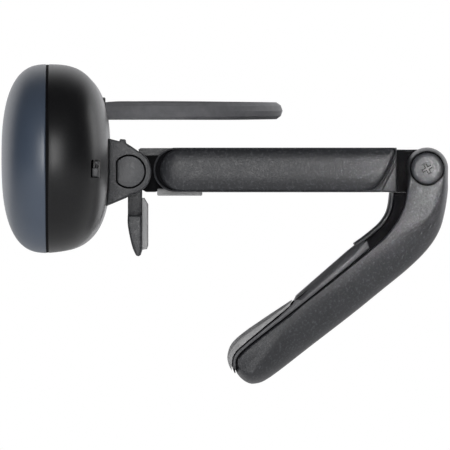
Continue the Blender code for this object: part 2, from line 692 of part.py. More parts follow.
# from inside the rear shell, back and round, down past the housing's end and along to the coil
LEAD_ROUTE = [
    (-0.0320, -0.0160, 0.0147),
    (-0.0320, -0.0080, 0.0147),
    (-0.0320, 0.0005, 0.0147),
    (-0.0341, 0.0089, 0.0147),
    (-0.0397, 0.0146, 0.0148),
    (-0.0475, 0.0167, 0.0149),
    (-0.0553, 0.0146, 0.0150),
    (-0.0609, 0.0089, 0.0151),
    (-0.0630, 0.0010, 0.0152),
    (-0.0630, -0.0065, 0.0152),
    (-0.0632, -0.0130, 0.0150),
    (-0.0654, -0.0198, 0.0133),
    (-0.0706, -0.0228, 0.0091),
    (-0.0760, -0.0198, 0.0048),
    (-0.0782, -0.0130, 0.0030),
    (-0.0782, -0.0050, COIL_LOWER_Z),
    (-0.0782, 0.0060, COIL_LOWER_Z),
    (-0.0782, 0.0178, COIL_LOWER_Z),
]

# from the coil's top layer, over the incoming lead and round to the plug
TAIL_ROUTE = [
    (-0.0550, -0.0080, COIL_LOWER_Z + CABLE_DIAMETER),
    (-0.0640, -0.0082, 0.0062),
    (-0.0740, -0.0084, 0.0064),
    (-0.0815, -0.0080, 0.0062),
    (-0.0868, -0.0042, 0.0053),
    (PLUG_X, 0.0020, 0.0045),
    (PLUG_X, 0.0082, PLUG_Z),
]


def smooth_points(route, spacing):
    """Points along a Catmull-Rom curve through the route, about this far apart."""
    points = [Vector(point) for point in route]
    ends = [2 * points[0] - points[1], *points, 2 * points[-1] - points[-2]]
    found = []
    for before, start, end, after in zip(ends, ends[1:], ends[2:], ends[3:]):
        pieces = max(1, round((end - start).length / spacing))
        for piece in range(pieces):
            t = piece / pieces
            found.append(
                0.5
                * (
                    2 * start
                    + (end - before) * t
                    + (2 * before - 5 * start + 4 * end - after) * t**2
                    + (3 * start - before - 3 * end + after) * t**3
                )
            )
    return found + [points[-1]]


def cable_tube(name, route):
    curve = bpy.data.curves.new(name, "CURVE")
    curve.dimensions = "3D"
    curve.bevel_depth = CABLE_DIAMETER / 2
    curve.bevel_resolution = 2
    curve.use_fill_caps = True
    points = smooth_points(route, CABLE_DIAMETER * 2)
    spline = curve.splines.new("POLY")
    spline.points.add(len(points) - 1)
    for point, place in zip(spline.points, points):
        point.co = (*place, 1.0)
    tube = bpy.data.objects.new(name, curve)
    parts.objects.link(tube)
    return finish_piece(tube, CABLE_GREY, ARM)


def make_lead():
    cable_tube("usb_cable", LEAD_ROUTE)
    cable_tube("cable_tail", TAIL_ROUTE)

    # the wound length, as the ring that its turns fill; the tubes meet it in two notches
    half = CABLE_DIAMETER
    coil = ring(
        "cable_coil",
        COIL_OUTER_TURN + CABLE_DIAMETER / 2,
        COIL_INNER_TURN - CABLE_DIAMETER / 2,
        -half,
        half,
        (*COIL_CENTRE, COIL_MIDDLE_Z),
        "Z",
        40,
    )
    combine(coil, box("lead_notch", (-0.0810, -0.012, 0.0), (-0.0763, 0.0181, 0.0048)))
    combine(coil, box("tail_notch", (-0.0810, -0.012, 0.0041), (-0.0547, -0.0059, 0.0090)))
    finish_piece(coil, CABLE_GREY, ARM)

    # the strap round the turns, on the side near the arm
    half_width = 0.003
    inner_radius = COIL_INNER_TURN - CABLE_DIAMETER / 2
    inner_x = COIL_CENTRE[0] + math.sqrt(inner_radius**2 - half_width**2)
    outer_x = COIL_CENTRE[0] + COIL_OUTER_TURN + CABLE_DIAMETER / 2
    low, high = COIL_MIDDLE_Z - half, COIL_MIDDLE_Z + half
    side_gap, top_gap, thickness = 0.0004, 0.00015, 0.00035
    tie = box(
        "cable_tie",
        (inner_x - side_gap - thickness, COIL_CENTRE[1] - half_width, low - top_gap - thickness),
        (outer_x + side_gap + thickness, COIL_CENTRE[1] + half_width, high + top_gap + thickness),
    )
    inside = box(
        "tie_inside",
        (inner_x - side_gap, COIL_CENTRE[1] - 0.005, low - top_gap),
        (outer_x + side_gap, COIL_CENTRE[1] + 0.005, high + top_gap),
    )
    combine(tie, inside)
    finish_piece(tie, RUBBER, ARM)

    # the plug points along +Y
    grip = box("plug_grip", (PLUG_X - 0.0075, 0.0085, PLUG_Z - 0.0033), (PLUG_X + 0.0075, 0.0295, PLUG_Z + 0.0033))
    finish_piece(grip, CABLE_GREY, ARM, 0.0012)
    shell = box("plug_shell", (PLUG_X - 0.006, 0.0298, PLUG_Z - 0.00225), (PLUG_X + 0.006, 0.0418, PLUG_Z + 0.00225))
    mouth = box("plug_mouth", (PLUG_X - 0.0056, 0.0308, PLUG_Z - 0.00185), (PLUG_X + 0.0056, 0.0440, PLUG_Z + 0.00185))
    combine(shell, mouth)
    finish_piece(shell, STEEL, ARM)
    insert = box("plug_insert", (PLUG_X - 0.0053, 0.0311, PLUG_Z - 0.0001), (PLUG_X + 0.0053, 0.0410, PLUG_Z + 0.0016))
    finish_piece(insert, BLACK, ARM)


make_front_shell()
make_rear_shell()
make_housing_fittings()
make_camera()
make_tilt_hinge()
make_arm()
make_leg()
make_lead()
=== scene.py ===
import math

import bmesh
import bpy
from mathutils import Matrix, Vector


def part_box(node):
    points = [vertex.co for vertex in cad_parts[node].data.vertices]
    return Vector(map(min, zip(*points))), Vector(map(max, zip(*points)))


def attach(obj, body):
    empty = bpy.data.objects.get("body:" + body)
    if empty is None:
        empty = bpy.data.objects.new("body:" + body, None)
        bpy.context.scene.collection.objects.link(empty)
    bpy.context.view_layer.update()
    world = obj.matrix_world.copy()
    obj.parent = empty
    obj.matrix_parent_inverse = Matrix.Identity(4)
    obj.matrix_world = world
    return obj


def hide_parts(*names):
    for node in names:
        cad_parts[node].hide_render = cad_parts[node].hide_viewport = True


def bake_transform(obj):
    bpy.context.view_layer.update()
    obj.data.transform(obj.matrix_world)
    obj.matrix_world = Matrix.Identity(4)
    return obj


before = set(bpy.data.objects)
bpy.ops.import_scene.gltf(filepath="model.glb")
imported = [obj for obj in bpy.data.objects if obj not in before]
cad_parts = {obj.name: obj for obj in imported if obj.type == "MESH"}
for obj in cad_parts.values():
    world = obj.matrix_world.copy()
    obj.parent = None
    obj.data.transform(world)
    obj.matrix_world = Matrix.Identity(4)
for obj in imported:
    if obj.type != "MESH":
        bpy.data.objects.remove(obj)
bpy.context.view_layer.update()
scene = bpy.context.scene
mm = 0.001
bothSides = (("left", -1), ("right", 1))

# ---- camera ----

cameraSetup = {"distance": 3.0, "roomRound": 1.016, "aside": -0.2 * mm, "sensor": 36}

frontLow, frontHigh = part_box("front_shell")
rearLow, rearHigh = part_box("rear_shell")
legLow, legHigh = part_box("leg_shell")


def addCamera():
    middle = Vector((0, (frontLow.y + legHigh.y) / 2 + cameraSetup["aside"], (frontHigh.z + legLow.z) / 2))
    width = (legHigh.y - frontLow.y) * cameraSetup["roomRound"]
    camera = bpy.data.cameras.new("sideCamera")
    camera.sensor_width = cameraSetup["sensor"]
    camera.lens = cameraSetup["sensor"] * cameraSetup["distance"] / width
    camera.clip_end = cameraSetup["distance"] * 4
    holder = bpy.data.objects.new("sideCamera", camera)
    holder.location = middle + Vector((cameraSetup["distance"], 0, 0))
    holder.rotation_euler = (math.radians(90), 0, math.radians(90))
    scene.collection.objects.link(holder)
    scene.camera = holder


addCamera()
print("camera placed")

# ---- finishes ----


def newMaterial(name, **sockets):
    material = bpy.data.materials.new(name)
    material.use_nodes = True
    shader = material.node_tree.nodes["Principled BSDF"]
    for socket, value in sockets.items():
        shader.inputs[socket.replace("_", " ")].default_value = value
    return material, material.node_tree.nodes, material.node_tree.links, shader


def colourRamp(nodes, links, source, stops):
    # colours picked by a value: each stop is (place, colour)
    ramp = nodes.new("ShaderNodeValToRGB")
    first, last = ramp.color_ramp.elements
    first.position, last.position = stops[0][0], stops[-1][0]
    first.color = (*stops[0][1], 1)
    last.color = (*stops[-1][1], 1)
    for position, colour in stops[1:-1]:
        ramp.color_ramp.elements.new(position).color = (*colour, 1)
    links.new(source, ramp.inputs["Fac"])
    return ramp.outputs["Color"]


def addBump(nodes, links, shader, height, strength, distance):
    bump = nodes.new("ShaderNodeBump")
    bump.inputs["Strength"].default_value = strength
    bump.inputs["Distance"].default_value = distance
    links.new(height, bump.inputs["Height"])
    links.new(bump.outputs["Normal"], shader.inputs["Normal"])


def patternNode(nodes, links, kind, scale, stretch=(1, 1, 1), turn=(0, 0, 0), **settings):
    place = nodes.new("ShaderNodeTexCoord")
    mapping = nodes.new("ShaderNodeMapping")
    mapping.inputs["Scale"].default_value = stretch
    mapping.inputs["Rotation"].default_value = turn
    pattern = nodes.new(kind)
    pattern.inputs["Scale"].default_value = scale
    for socket, value in settings.items():
        pattern.inputs[socket].default_value = value
    links.new(place.outputs["Object"], mapping.inputs["Vector"])
    links.new(mapping.outputs["Vector"], pattern.inputs["Vector"])
    return pattern


def spread(nodes, links, source, low, high, fromLow=0.3, fromHigh=0.7):
    ranged = nodes.new("ShaderNodeMapRange")
    ranged.inputs["From Min"].default_value = fromLow
    ranged.inputs["From Max"].default_value = fromHigh
    ranged.inputs["To Min"].default_value = low
    ranged.inputs["To Max"].default_value = high
    links.new(source, ranged.inputs["Value"])
    return ranged.outputs["Result"]


def mouldedPlastic(name, look):
    # spark-eroded skin: a fine grain in bump and roughness, a slow mottling in colour, paler worn edges
    material, nodes, links, shader = newMaterial(name)
    shader.inputs["Specular IOR Level"].default_value = look.get("shine", 0.5)
    grain = patternNode(nodes, links, "ShaderNodeTexNoise", look["grain"], Detail=2.5, Roughness=0.6)
    slow = patternNode(nodes, links, "ShaderNodeTexNoise", look["mottle"], Detail=4.0, Roughness=0.55)
    ground = colourRamp(nodes, links, slow.outputs["Fac"], [(0.3, look["dark"]), (0.7, look["light"])])
    speck = nodes.new("ShaderNodeMix")
    speck.data_type = "RGBA"
    speck.blend_type = "ADD"
    speck.inputs["B"].default_value = (*look["speck"], 1)
    links.new(spread(nodes, links, grain.outputs["Fac"], 0, 1, 0.52, 0.7), speck.inputs["Factor"])
    links.new(ground, speck.inputs["A"])
    worn = nodes.new("ShaderNodeMix")
    worn.data_type = "RGBA"
    worn.inputs["B"].default_value = (*look["worn"], 1)
    geometry = nodes.new("ShaderNodeNewGeometry")
    wornShare = spread(nodes, links, geometry.outputs["Pointiness"], 0, look["wear"], 0.53, 0.62)
    links.new(wornShare, worn.inputs["Factor"])
    links.new(speck.outputs["Result"], worn.inputs["A"])
    links.new(worn.outputs["Result"], shader.inputs["Base Color"])
    links.new(spread(nodes, links, grain.outputs["Fac"], *look["roughness"]), shader.inputs["Roughness"])
    addBump(nodes, links, shader, grain.outputs["Fac"], look["bump"], look["depth"])
    return material


def rubberFinish(name, look):
    material, nodes, links, shader = newMaterial(name)
    grain = patternNode(nodes, links, "ShaderNodeTexNoise", look["grain"], Detail=6.0, Roughness=0.7)
    dust = patternNode(nodes, links, "ShaderNodeTexNoise", look["mottle"], Detail=5.0, Roughness=0.6)
    stops = [(0.35, look["dark"]), (0.6, look["light"]), (0.8, look["dust"])]
    links.new(colourRamp(nodes, links, dust.outputs["Fac"], stops), shader.inputs["Base Color"])
    links.new(spread(nodes, links, grain.outputs["Fac"], *look["roughness"]), shader.inputs["Roughness"])
    addBump(nodes, links, shader, grain.outputs["Fac"], look["bump"], look["depth"])
    return material


def metalFinish(name, look):
    # turned or rolled metal: the grain is drawn out along one axis
    material, nodes, links, shader = newMaterial(name, Metallic=1.0)
    streak = patternNode(nodes, links, "ShaderNodeTexNoise", look["grain"], stretch=look["stretch"],
                         Detail=3.0)
    tarnish = patternNode(nodes, links, "ShaderNodeTexNoise", look["mottle"], Detail=4.0)
    stops = [(0.3, look["dark"]), (0.7, look["light"])]
    links.new(colourRamp(nodes, links, tarnish.outputs["Fac"], stops), shader.inputs["Base Color"])
    links.new(spread(nodes, links, streak.outputs["Fac"], *look["roughness"]), shader.inputs["Roughness"])
    addBump(nodes, links, shader, streak.outputs["Fac"], look["bump"], 0.00002)
    return material


def glassFinish(name, look):
    material, nodes, links, shader = newMaterial(name, IOR=look["ior"])
    shader.inputs["Transmission Weight"].default_value = look["clear"]
    shader.inputs["Coat Weight"].default_value = look["coat"]
    shader.inputs["Coat Roughness"].default_value = 0.02
    shader.inputs["Coat Tint"].default_value = (*look["coatTint"], 1)
    smear = patternNode(nodes, links, "ShaderNodeTexNoise", look["mottle"], Detail=3.0)
    stops = [(0.3, look["dark"]), (0.7, look["light"])]
    links.new(colourRamp(nodes, links, smear.outputs["Fac"], stops), shader.inputs["Base Color"])
    links.new(spread(nodes, links, smear.outputs["Fac"], *look["roughness"]), shader.inputs["Roughness"])
    return material


def boardFinish(name, look):
    material, nodes, links, shader = newMaterial(name, Roughness=0.35)
    tracks = patternNode(nodes, links, "ShaderNodeTexBrick", look["tracks"], turn=(math.radians(90), 0, 0))
    tracks.inputs["Color1"].default_value = (*look["mask"], 1)
    tracks.inputs["Color2"].default_value = (*look["maskDark"], 1)
    tracks.inputs["Mortar"].default_value = (*look["copper"], 1)
    tracks.inputs["Mortar Size"].default_value = 0.03
    links.new(tracks.outputs["Color"], shader.inputs["Base Color"])
    addBump(nodes, links, shader, tracks.outputs["Fac"], 0.3, 0.00003)
    return material


frontLook = {"dark": (0.062, 0.084, 0.122), "light": (0.070, 0.093, 0.134), "speck": (0.002, 0.002, 0.003),
             "worn": (0.07, 0.09, 0.12), "wear": 0.3, "grain": 4200, "mottle": 120,
             "roughness": (0.36, 0.44), "shine": 0.7, "bump": 0.08, "depth": 0.00004}
rearLook = {"dark": (0.008, 0.008, 0.009), "light": (0.011, 0.011, 0.012), "speck": (0.004, 0.004, 0.004),
            "worn": (0.04, 0.04, 0.042), "wear": 0.25, "grain": 3600, "mottle": 110,
            "roughness": (0.33, 0.40), "bump": 0.14, "depth": 0.00005, "shine": 0.35}
clipLook = {"dark": (0.028, 0.029, 0.033), "light": (0.038, 0.039, 0.044), "speck": (0.045, 0.048, 0.05),
            "worn": (0.12, 0.12, 0.125), "wear": 0.25, "grain": 2300, "mottle": 260,
            "roughness": (0.36, 0.54), "bump": 0.6, "depth": 0.00009}
capLook = dict(clipLook, dark=(0.052, 0.054, 0.060), light=(0.066, 0.068, 0.074), bump=0.2)
linerLook = dict(clipLook, dark=(0.085, 0.085, 0.092), light=(0.105, 0.105, 0.112), bump=0.18)
# near-black for painted shade: the black pieces set into seams, grooves, pockets and joints stand for shade,
# not for parts; the lens holder also wears it as its own black
shadeAndHolderLook = {"dark": (0.003, 0.003, 0.004), "light": (0.006, 0.006, 0.007), "speck": (0.002, 0.002, 0.002),
              "worn": (0.02, 0.02, 0.02), "wear": 0.1, "grain": 3400, "mottle": 260,
              "roughness": (0.7, 0.85), "bump": 0.2, "depth": 0.00005, "shine": 0.08}
# pale grey rubber for the pads; its paleness is partly painted light, raised so the thin rest pad carries
# the glow of the white surroundings in its colour
paleGlowLook = {"dark": (0.36, 0.36, 0.365), "light": (0.44, 0.44, 0.445), "dust": (0.50, 0.50, 0.502),
            "grain": 5200, "mottle": 700, "roughness": (0.6, 0.8), "bump": 0.25, "depth": 0.00005}
rubberLook = {"dark": (0.020, 0.020, 0.022), "light": (0.030, 0.030, 0.032), "dust": (0.06, 0.06, 0.062),
              "grain": 5200, "mottle": 700, "roughness": (0.6, 0.8), "bump": 0.25, "depth": 0.00005}
jacketLook = {"dark": (0.19, 0.191, 0.203), "light": (0.23, 0.231, 0.245), "dust": (0.27, 0.27, 0.28),
              "grain": 5200, "mottle": 500, "roughness": (0.45, 0.6), "bump": 0.2, "depth": 0.00005}
steelLook = {"dark": (0.42, 0.42, 0.43), "light": (0.56, 0.56, 0.57), "grain": 9000, "stretch": (1, 1, 0.05),
             "mottle": 900, "roughness": (0.22, 0.36), "bump": 0.15}
darkScrewLook = {"dark": (0.10, 0.10, 0.11), "light": (0.17, 0.17, 0.18), "grain": 9000,
                 "stretch": (1, 0.1, 1), "mottle": 900, "roughness": (0.3, 0.45), "bump": 0.15}
goldLook = {"dark": (0.75, 0.52, 0.22), "light": (0.9, 0.66, 0.3), "grain": 9000, "stretch": (0.1, 1, 1),
            "mottle": 1500, "roughness": (0.2, 0.3), "bump": 0.1}
windowLook = {"dark": (0.78, 0.80, 0.82), "light": (0.9, 0.92, 0.94), "ior": 1.5, "clear": 1.0, "coat": 0.4,
              "coatTint": (0.9, 0.95, 1.0), "mottle": 300, "roughness": (0.0, 0.03)}
elementLook = {"dark": (0.03, 0.02, 0.06), "light": (0.06, 0.03, 0.12), "ior": 1.7, "clear": 0.35,
               "coat": 1.0, "coatTint": (0.55, 0.45, 1.0), "mottle": 500, "roughness": (0.02, 0.06)}
pipeLook = {"dark": (0.62, 0.66, 0.68), "light": (0.78, 0.82, 0.84), "ior": 1.45, "clear": 0.55, "coat": 0.1,
            "coatTint": (1, 1, 1), "mottle": 2500, "roughness": (0.35, 0.5)}
glossLook = {"dark": (0.004, 0.004, 0.005), "light": (0.007, 0.007, 0.008), "speck": (0.001, 0.001, 0.001),
             "worn": (0.03, 0.03, 0.03), "wear": 0.2, "grain": 3000, "mottle": 300,
             "roughness": (0.07, 0.14), "bump": 0.02, "depth": 0.00002}
boardLook = {"mask": (0.012, 0.075, 0.035), "maskDark": (0.008, 0.055, 0.026), "copper": (0.05, 0.16, 0.06),
             "tracks": 420}

graphite = mouldedPlastic("graphiteShell", frontLook)
rearBlack = mouldedPlastic("rearShellBlack", rearLook)
clipGrey = mouldedPlastic("clipGrainedGrey", clipLook)
capGrey = mouldedPlastic("capGrey", capLook)
linerGrey = mouldedPlastic("linerGrey", linerLook)
shadeAndHolderBlack = mouldedPlastic("shadeAndHolderBlack", shadeAndHolderLook)
glossBlack = mouldedPlastic("bezelGloss", glossLook)
padRubber = rubberFinish("padRubber", rubberLook)
paleGlowRubber = rubberFinish("paleGlowRubber", paleGlowLook)
jacket = rubberFinish("cableJacket", jacketLook)
steel = metalFinish("zincSteel", steelLook)
darkScrew = metalFinish("darkScrewSteel", darkScrewLook)
gold = metalFinish("contactGold", goldLook)
windowGlass = glassFinish("coverGlass", windowLook)
elementGlass = glassFinish("coatedElement", elementLook)
pipeClear = glassFinish("frostedLightPipe", pipeLook)
boardGreen = boardFinish("boardGreen", boardLook)
print("finishes made")

# ---- tools for shaping ----


def addPiece(name, shape, material, body, slotName, *nodes, sharp=34):
    mesh = bpy.data.meshes.new(name)
    shape.to_mesh(mesh)
    shape.free()
    mesh.materials.append(material)
    mesh.shade_smooth()
    mesh.set_sharp_from_angle(angle=math.radians(sharp))
    piece = bpy.data.objects.new(name, mesh)
    scene.collection.objects.link(piece)
    if body:
        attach(piece, body)
    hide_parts(*nodes)
    return piece


def tidyShape(shape, distance=0.000002):
    bmesh.ops.remove_doubles(shape, verts=shape.verts, dist=distance)
    bmesh.ops.recalc_face_normals(shape, faces=shape.faces)
    if shape.calc_volume(signed=True) < 0:
        bmesh.ops.reverse_faces(shape, faces=shape.faces)
    return shape


def bevelEdges(shape, edges, width, segments, clamp=False):
    bmesh.ops.bevel(shape, geom=edges, offset=width, segments=segments, profile=0.5, affect="EDGES",
                    clamp_overlap=clamp, material=-1)


def edgesAlong(shape, axis, least=1e-5):
    # the edges that run along X, Y or Z, which are axes 0, 1 and 2
    return [e for e in shape.edges if abs(e.verts[0].co[axis] - e.verts[1].co[axis]) > least]


def boxShape(low, high, edge=0.0, segments=3):
    shape = bmesh.new()
    bmesh.ops.create_cube(shape, size=1)
    low, high = Vector(low), Vector(high)
    bmesh.ops.scale(shape, vec=high - low, verts=shape.verts)
    bmesh.ops.translate(shape, vec=(low + high) / 2, verts=shape.verts)
    if edge:
        bevelEdges(shape, shape.edges[:], edge, segments)
    return shape


def rodShape(radius, start, end, sides=48, farRadius=None):
    shape = bmesh.new()
    start, end = Vector(start), Vector(end)
    along = end - start
    bmesh.ops.create_cone(shape, cap_ends=True, segments=sides, radius1=radius,
                          radius2=radius if farRadius is None else farRadius, depth=along.length)
    turn = Vector((0, 0, 1)).rotation_difference(along).to_matrix().to_4x4()
    bmesh.ops.transform(shape, matrix=Matrix.Translation((start + end) / 2) @ turn, verts=shape.verts)
    return shape


def inMetres(points):
    return [tuple(value * mm for value in point[:2]) + tuple(point[2:]) for point in points]


def turnedShape(profile, centre, axis="Y", steps=64, closed=False):
    # (radius, height) points spun all the way round an axis through the centre
    along = {"X": Vector((1, 0, 0)), "Y": Vector((0, 1, 0)), "Z": Vector((0, 0, 1))}[axis]
    out = Vector((0, 0, 1)) if axis != "Z" else Vector((1, 0, 0))
    shape = bmesh.new()
    verts = [shape.verts.new(Vector(centre) + out * radius + along * height) for radius, height in profile]
    pairs = list(zip(verts, verts[1:])) + ([(verts[-1], verts[0])] if closed else [])
    edges = [shape.edges.new(pair) for pair in pairs]
    bmesh.ops.spin(shape, geom=verts + edges, cent=centre, axis=along, angle=math.tau, steps=steps,
                   use_merge=True)
    return tidyShape(shape)


def arc(centre, radius, start, end, steps):
    # (y, z) points, by angles from +Y towards +Z
    angles = [math.radians(start + (end - start) * step / steps) for step in range(steps + 1)]
    return [(centre[0] + radius * math.cos(a), centre[1] + radius * math.sin(a)) for a in angles]


def smoothLine(points, steps=5):
    # a rounded line through the points, both ends kept
    line = [Vector(p) for p in points]
    ends = [2 * line[0] - line[1], *line, 2 * line[-1] - line[-2]]
    found = []
    for a, b, c, d in zip(ends, ends[1:], ends[2:], ends[3:]):
        for step in range(steps):
            t = step / steps
            found.append(0.5 * (2 * b + (c - a) * t + (2 * a - 5 * b + 4 * c - d) * t * t
                                + (3 * b - a - 3 * c + d) * t ** 3))
    return found + [line[-1]]


def prismShape(outline, lowX, highX):
    shape = bmesh.new()
    face = shape.faces.new([shape.verts.new((lowX, y, z)) for y, z in outline])
    grown = bmesh.ops.extrude_face_region(shape, geom=[face])["geom"]
    tops = [item for item in grown if isinstance(item, bmesh.types.BMVert)]
    bmesh.ops.translate(shape, vec=(highX - lowX, 0, 0), verts=tops)
    return tidyShape(shape)


def roundRims(shape, width, segments=4):
    # rounds the edges of the two flat sides
    lowX, highX = min(v.co.x for v in shape.verts), max(v.co.x for v in shape.verts)
    rims = [e for e in shape.edges
            if any(all(abs(v.co.x - x) < 1e-7 for v in e.verts) for x in (lowX, highX))]
    bevelEdges(shape, rims, width, segments, clamp=True)
    return shape


def roundCorners(shape, width, segments=4, sharperThan=20):
    # rounds the edges that run across the piece, where the outline has a corner
    corners = [e for e in edgesAlong(shape, 0, 1e-6)
               if len(e.link_faces) == 2 and math.degrees(e.calc_face_angle(0)) > sharperThan]
    bevelEdges(shape, corners, width, segments, clamp=True)
    return shape


def combineShapes(shape, tool, operation="DIFFERENCE"):
    holders = []
    for part, label in ((shape, "worked"), (tool, "tool")):
        mesh = bpy.data.meshes.new(label)
        part.to_mesh(mesh)
        part.free()
        holder = bpy.data.objects.new(label, mesh)
        scene.collection.objects.link(holder)
        holders.append(holder)
    worked, cutter = holders
    boolean = worked.modifiers.new("combine", "BOOLEAN")
    boolean.operation, boolean.solver, boolean.object = operation, "EXACT", cutter
    bpy.context.view_layer.update()
    result = worked.evaluated_get(bpy.context.evaluated_depsgraph_get()).to_mesh()
    done = bmesh.new()
    done.from_mesh(result)
    for holder in holders:
        mesh = holder.data
        bpy.data.objects.remove(holder)
        bpy.data.meshes.remove(mesh)
    return done


def joinShapes(*shapes):
    # several closed shapes as one piece, without cutting them
    joined = bmesh.new()
    for shape in shapes:
        mesh = bpy.data.meshes.new("joined")
        shape.to_mesh(mesh)
        shape.free()
        joined.from_mesh(mesh)
        bpy.data.meshes.remove(mesh)
    return joined


def mirrored(shape):
    # both sides of X: the shape and its mirror image
    bmesh.ops.mirror(shape, geom=shape.verts[:] + shape.edges[:] + shape.faces[:], axis="X",
                     matrix=Matrix(), merge_dist=1e-6)
    return tidyShape(shape)


# ---- USB lead ----

lead = {"diameter": 3.1 * mm, "length": 1.5, "spacing": 1.55 * mm, "sides": 16,
        "coilCentre": (-52.0 * mm, 18.2 * mm), "outerTurn": 26.2 * mm, "turnsPerLayer": 5.875,
        "lowerZ": 2.87 * mm, "plugX": -88.5 * mm, "plugZ": 4.4 * mm}
lowerZ = lead["lowerZ"]
upperZ = lowerZ + lead["diameter"]

leadRoute = [(-0.0320, -0.0160, 0.0147), (-0.0320, -0.0080, 0.0147), (-0.0320, 0.0005, 0.0147),
             (-0.0341, 0.0089, 0.0147), (-0.0397, 0.0146, 0.0148), (-0.0475, 0.0167, 0.0149),
             (-0.0553, 0.0146, 0.0150), (-0.0609, 0.0089, 0.0151), (-0.0630, 0.0010, 0.0152),
             (-0.0630, -0.0065, 0.0152), (-0.0632, -0.0130, 0.0150), (-0.0654, -0.0198, 0.0133),
             (-0.0706, -0.0228, 0.0091), (-0.0760, -0.0198, 0.0048), (-0.0782, -0.0130, 0.0030),
             (-0.0782, -0.0050, lowerZ), (-0.0782, 0.0060, lowerZ), (-0.0782, 0.0178, lowerZ)]
tailRoute = [(-0.0550, -0.0080, upperZ), (-0.0640, -0.0082, 0.0062), (-0.0740, -0.0084, 0.0064),
             (-0.0815, -0.0080, 0.0062), (-0.0868, -0.0042, 0.0053), (lead["plugX"], 0.0020, 0.0045),
             (lead["plugX"], 0.0082, lead["plugZ"])]


def coilPoints():
    # clockwise from above: inwards along the lower layer, a step up, outwards along the upper layer
    turns, pitch = lead["turnsPerLayer"], lead["diameter"]
    perTurn = 48
    count = round(turns * perTurn)
    found = []
    for layer, z in ((0, lowerZ), (1, upperZ)):
        for step in range(count + 1):
            share = step / count
            inwards = share if layer == 0 else 1 - share
            angle = math.pi - math.tau * turns * (share + layer)
            radius = lead["outerTurn"] - pitch * turns * inwards
            height = z
            if layer == 1 and step < 10:
                height = lowerZ + pitch * (0.5 - 0.5 * math.cos(math.pi * step / 10))
            x, y = lead["coilCentre"]
            found.append(Vector((x + radius * math.cos(angle), y + radius * math.sin(angle), height)))
    return found


def evenPoints(points, spacing):
    # the same line with its points evenly spaced
    lengths = [0.0]
    for a, b in zip(points, points[1:]):
        lengths.append(lengths[-1] + (b - a).length)
    count = round(lengths[-1] / spacing)
    found, index = [], 0
    for step in range(count + 1):
        want = lengths[-1] * step / count
        while index < len(points) - 2 and lengths[index + 1] < want:
            index += 1
        piece = lengths[index + 1] - lengths[index]
        found.append(points[index].lerp(points[index + 1], (want - lengths[index]) / max(piece, 1e-9)))
    return found


def makeLead():
    coil = coilPoints()
    line = smoothLine([Vector(p) for p in leadRoute], 8)[:-1] + coil[1:-1] + smoothLine(
        [Vector(p) for p in tailRoute], 8)
    line = evenPoints(line, lead["spacing"])
    curve = bpy.data.curves.new("usbLead", "CURVE")
    curve.dimensions = "3D"
    curve.bevel_depth = lead["diameter"] / 2
    curve.bevel_resolution = lead["sides"] // 4 - 1
    curve.use_fill_caps = True
    spline = curve.splines.new("POLY")
    spline.points.add(len(line) - 1)
    for point, place in zip(spline.points, line):
        point.co = (*place, 1)
    drawn = bpy.data.objects.new("leadLine", curve)
    scene.collection.objects.link(drawn)
    bpy.context.view_layer.update()
    mesh = bpy.data.meshes.new_from_object(drawn.evaluated_get(bpy.context.evaluated_depsgraph_get()))
    bpy.data.objects.remove(drawn)
    shape = bmesh.new()
    shape.from_mesh(mesh)
    bpy.data.meshes.remove(mesh)
    tidyShape(shape, 0.000001)
    piece = addPiece("usbLead", shape, jacket, None, "cable_jacket", "usb_cable", "cable_tail", "cable_coil")
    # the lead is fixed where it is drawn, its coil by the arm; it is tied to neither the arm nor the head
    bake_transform(piece)
    return piece, line


leadPiece, leadLine = makeLead()
print("lead made")


def plugShapes():
    x, z = lead["plugX"], lead["plugZ"]
    gripLow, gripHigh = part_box("plug_grip")
    grip = boxShape(gripLow, gripHigh)
    back = edgesAlong(grip, 1)
    bevelEdges(grip, back, 1.4 * mm, 5)
    ends = [f for f in grip.faces if abs(f.normal.y) > 0.9]
    for face in ends:
        rims = face.edges[:]
        bevelEdges(grip, rims, 0.6 * mm, 3)
    # finger ridges cut across both broad faces
    for step in range(5):
        y = gripLow.y + (5 + step * 1.6) * mm
        for side in (-1, 1):
            face = z + side * (gripHigh.z - gripLow.z) / 2
            groove = boxShape((x - 5.2 * mm, y, face - 0.25 * mm),
                              (x + 5.2 * mm, y + 0.7 * mm, face + 0.25 * mm), 0.12 * mm, 2)
            grip = combineShapes(grip, groove)
    # the neck that stops the lead from kinking at the plug
    neckProfile = [(0.0, 0.3), (2.9, 0.3), (2.9, -0.5), (2.6, -0.7), (2.6, -1.3), (2.8, -1.5), (2.75, -2.1),
                   (2.45, -2.3), (2.4, -2.9), (2.6, -3.1), (2.55, -3.7), (2.2, -3.9), (2.1, -4.6),
                   (1.75, -4.8), (1.6, -4.8), (1.6, -0.2), (0.0, -0.2)]
    neck = turnedShape(inMetres(neckProfile), (x, gripLow.y, z), "Y", 40)
    return combineShapes(grip, neck, "UNION")


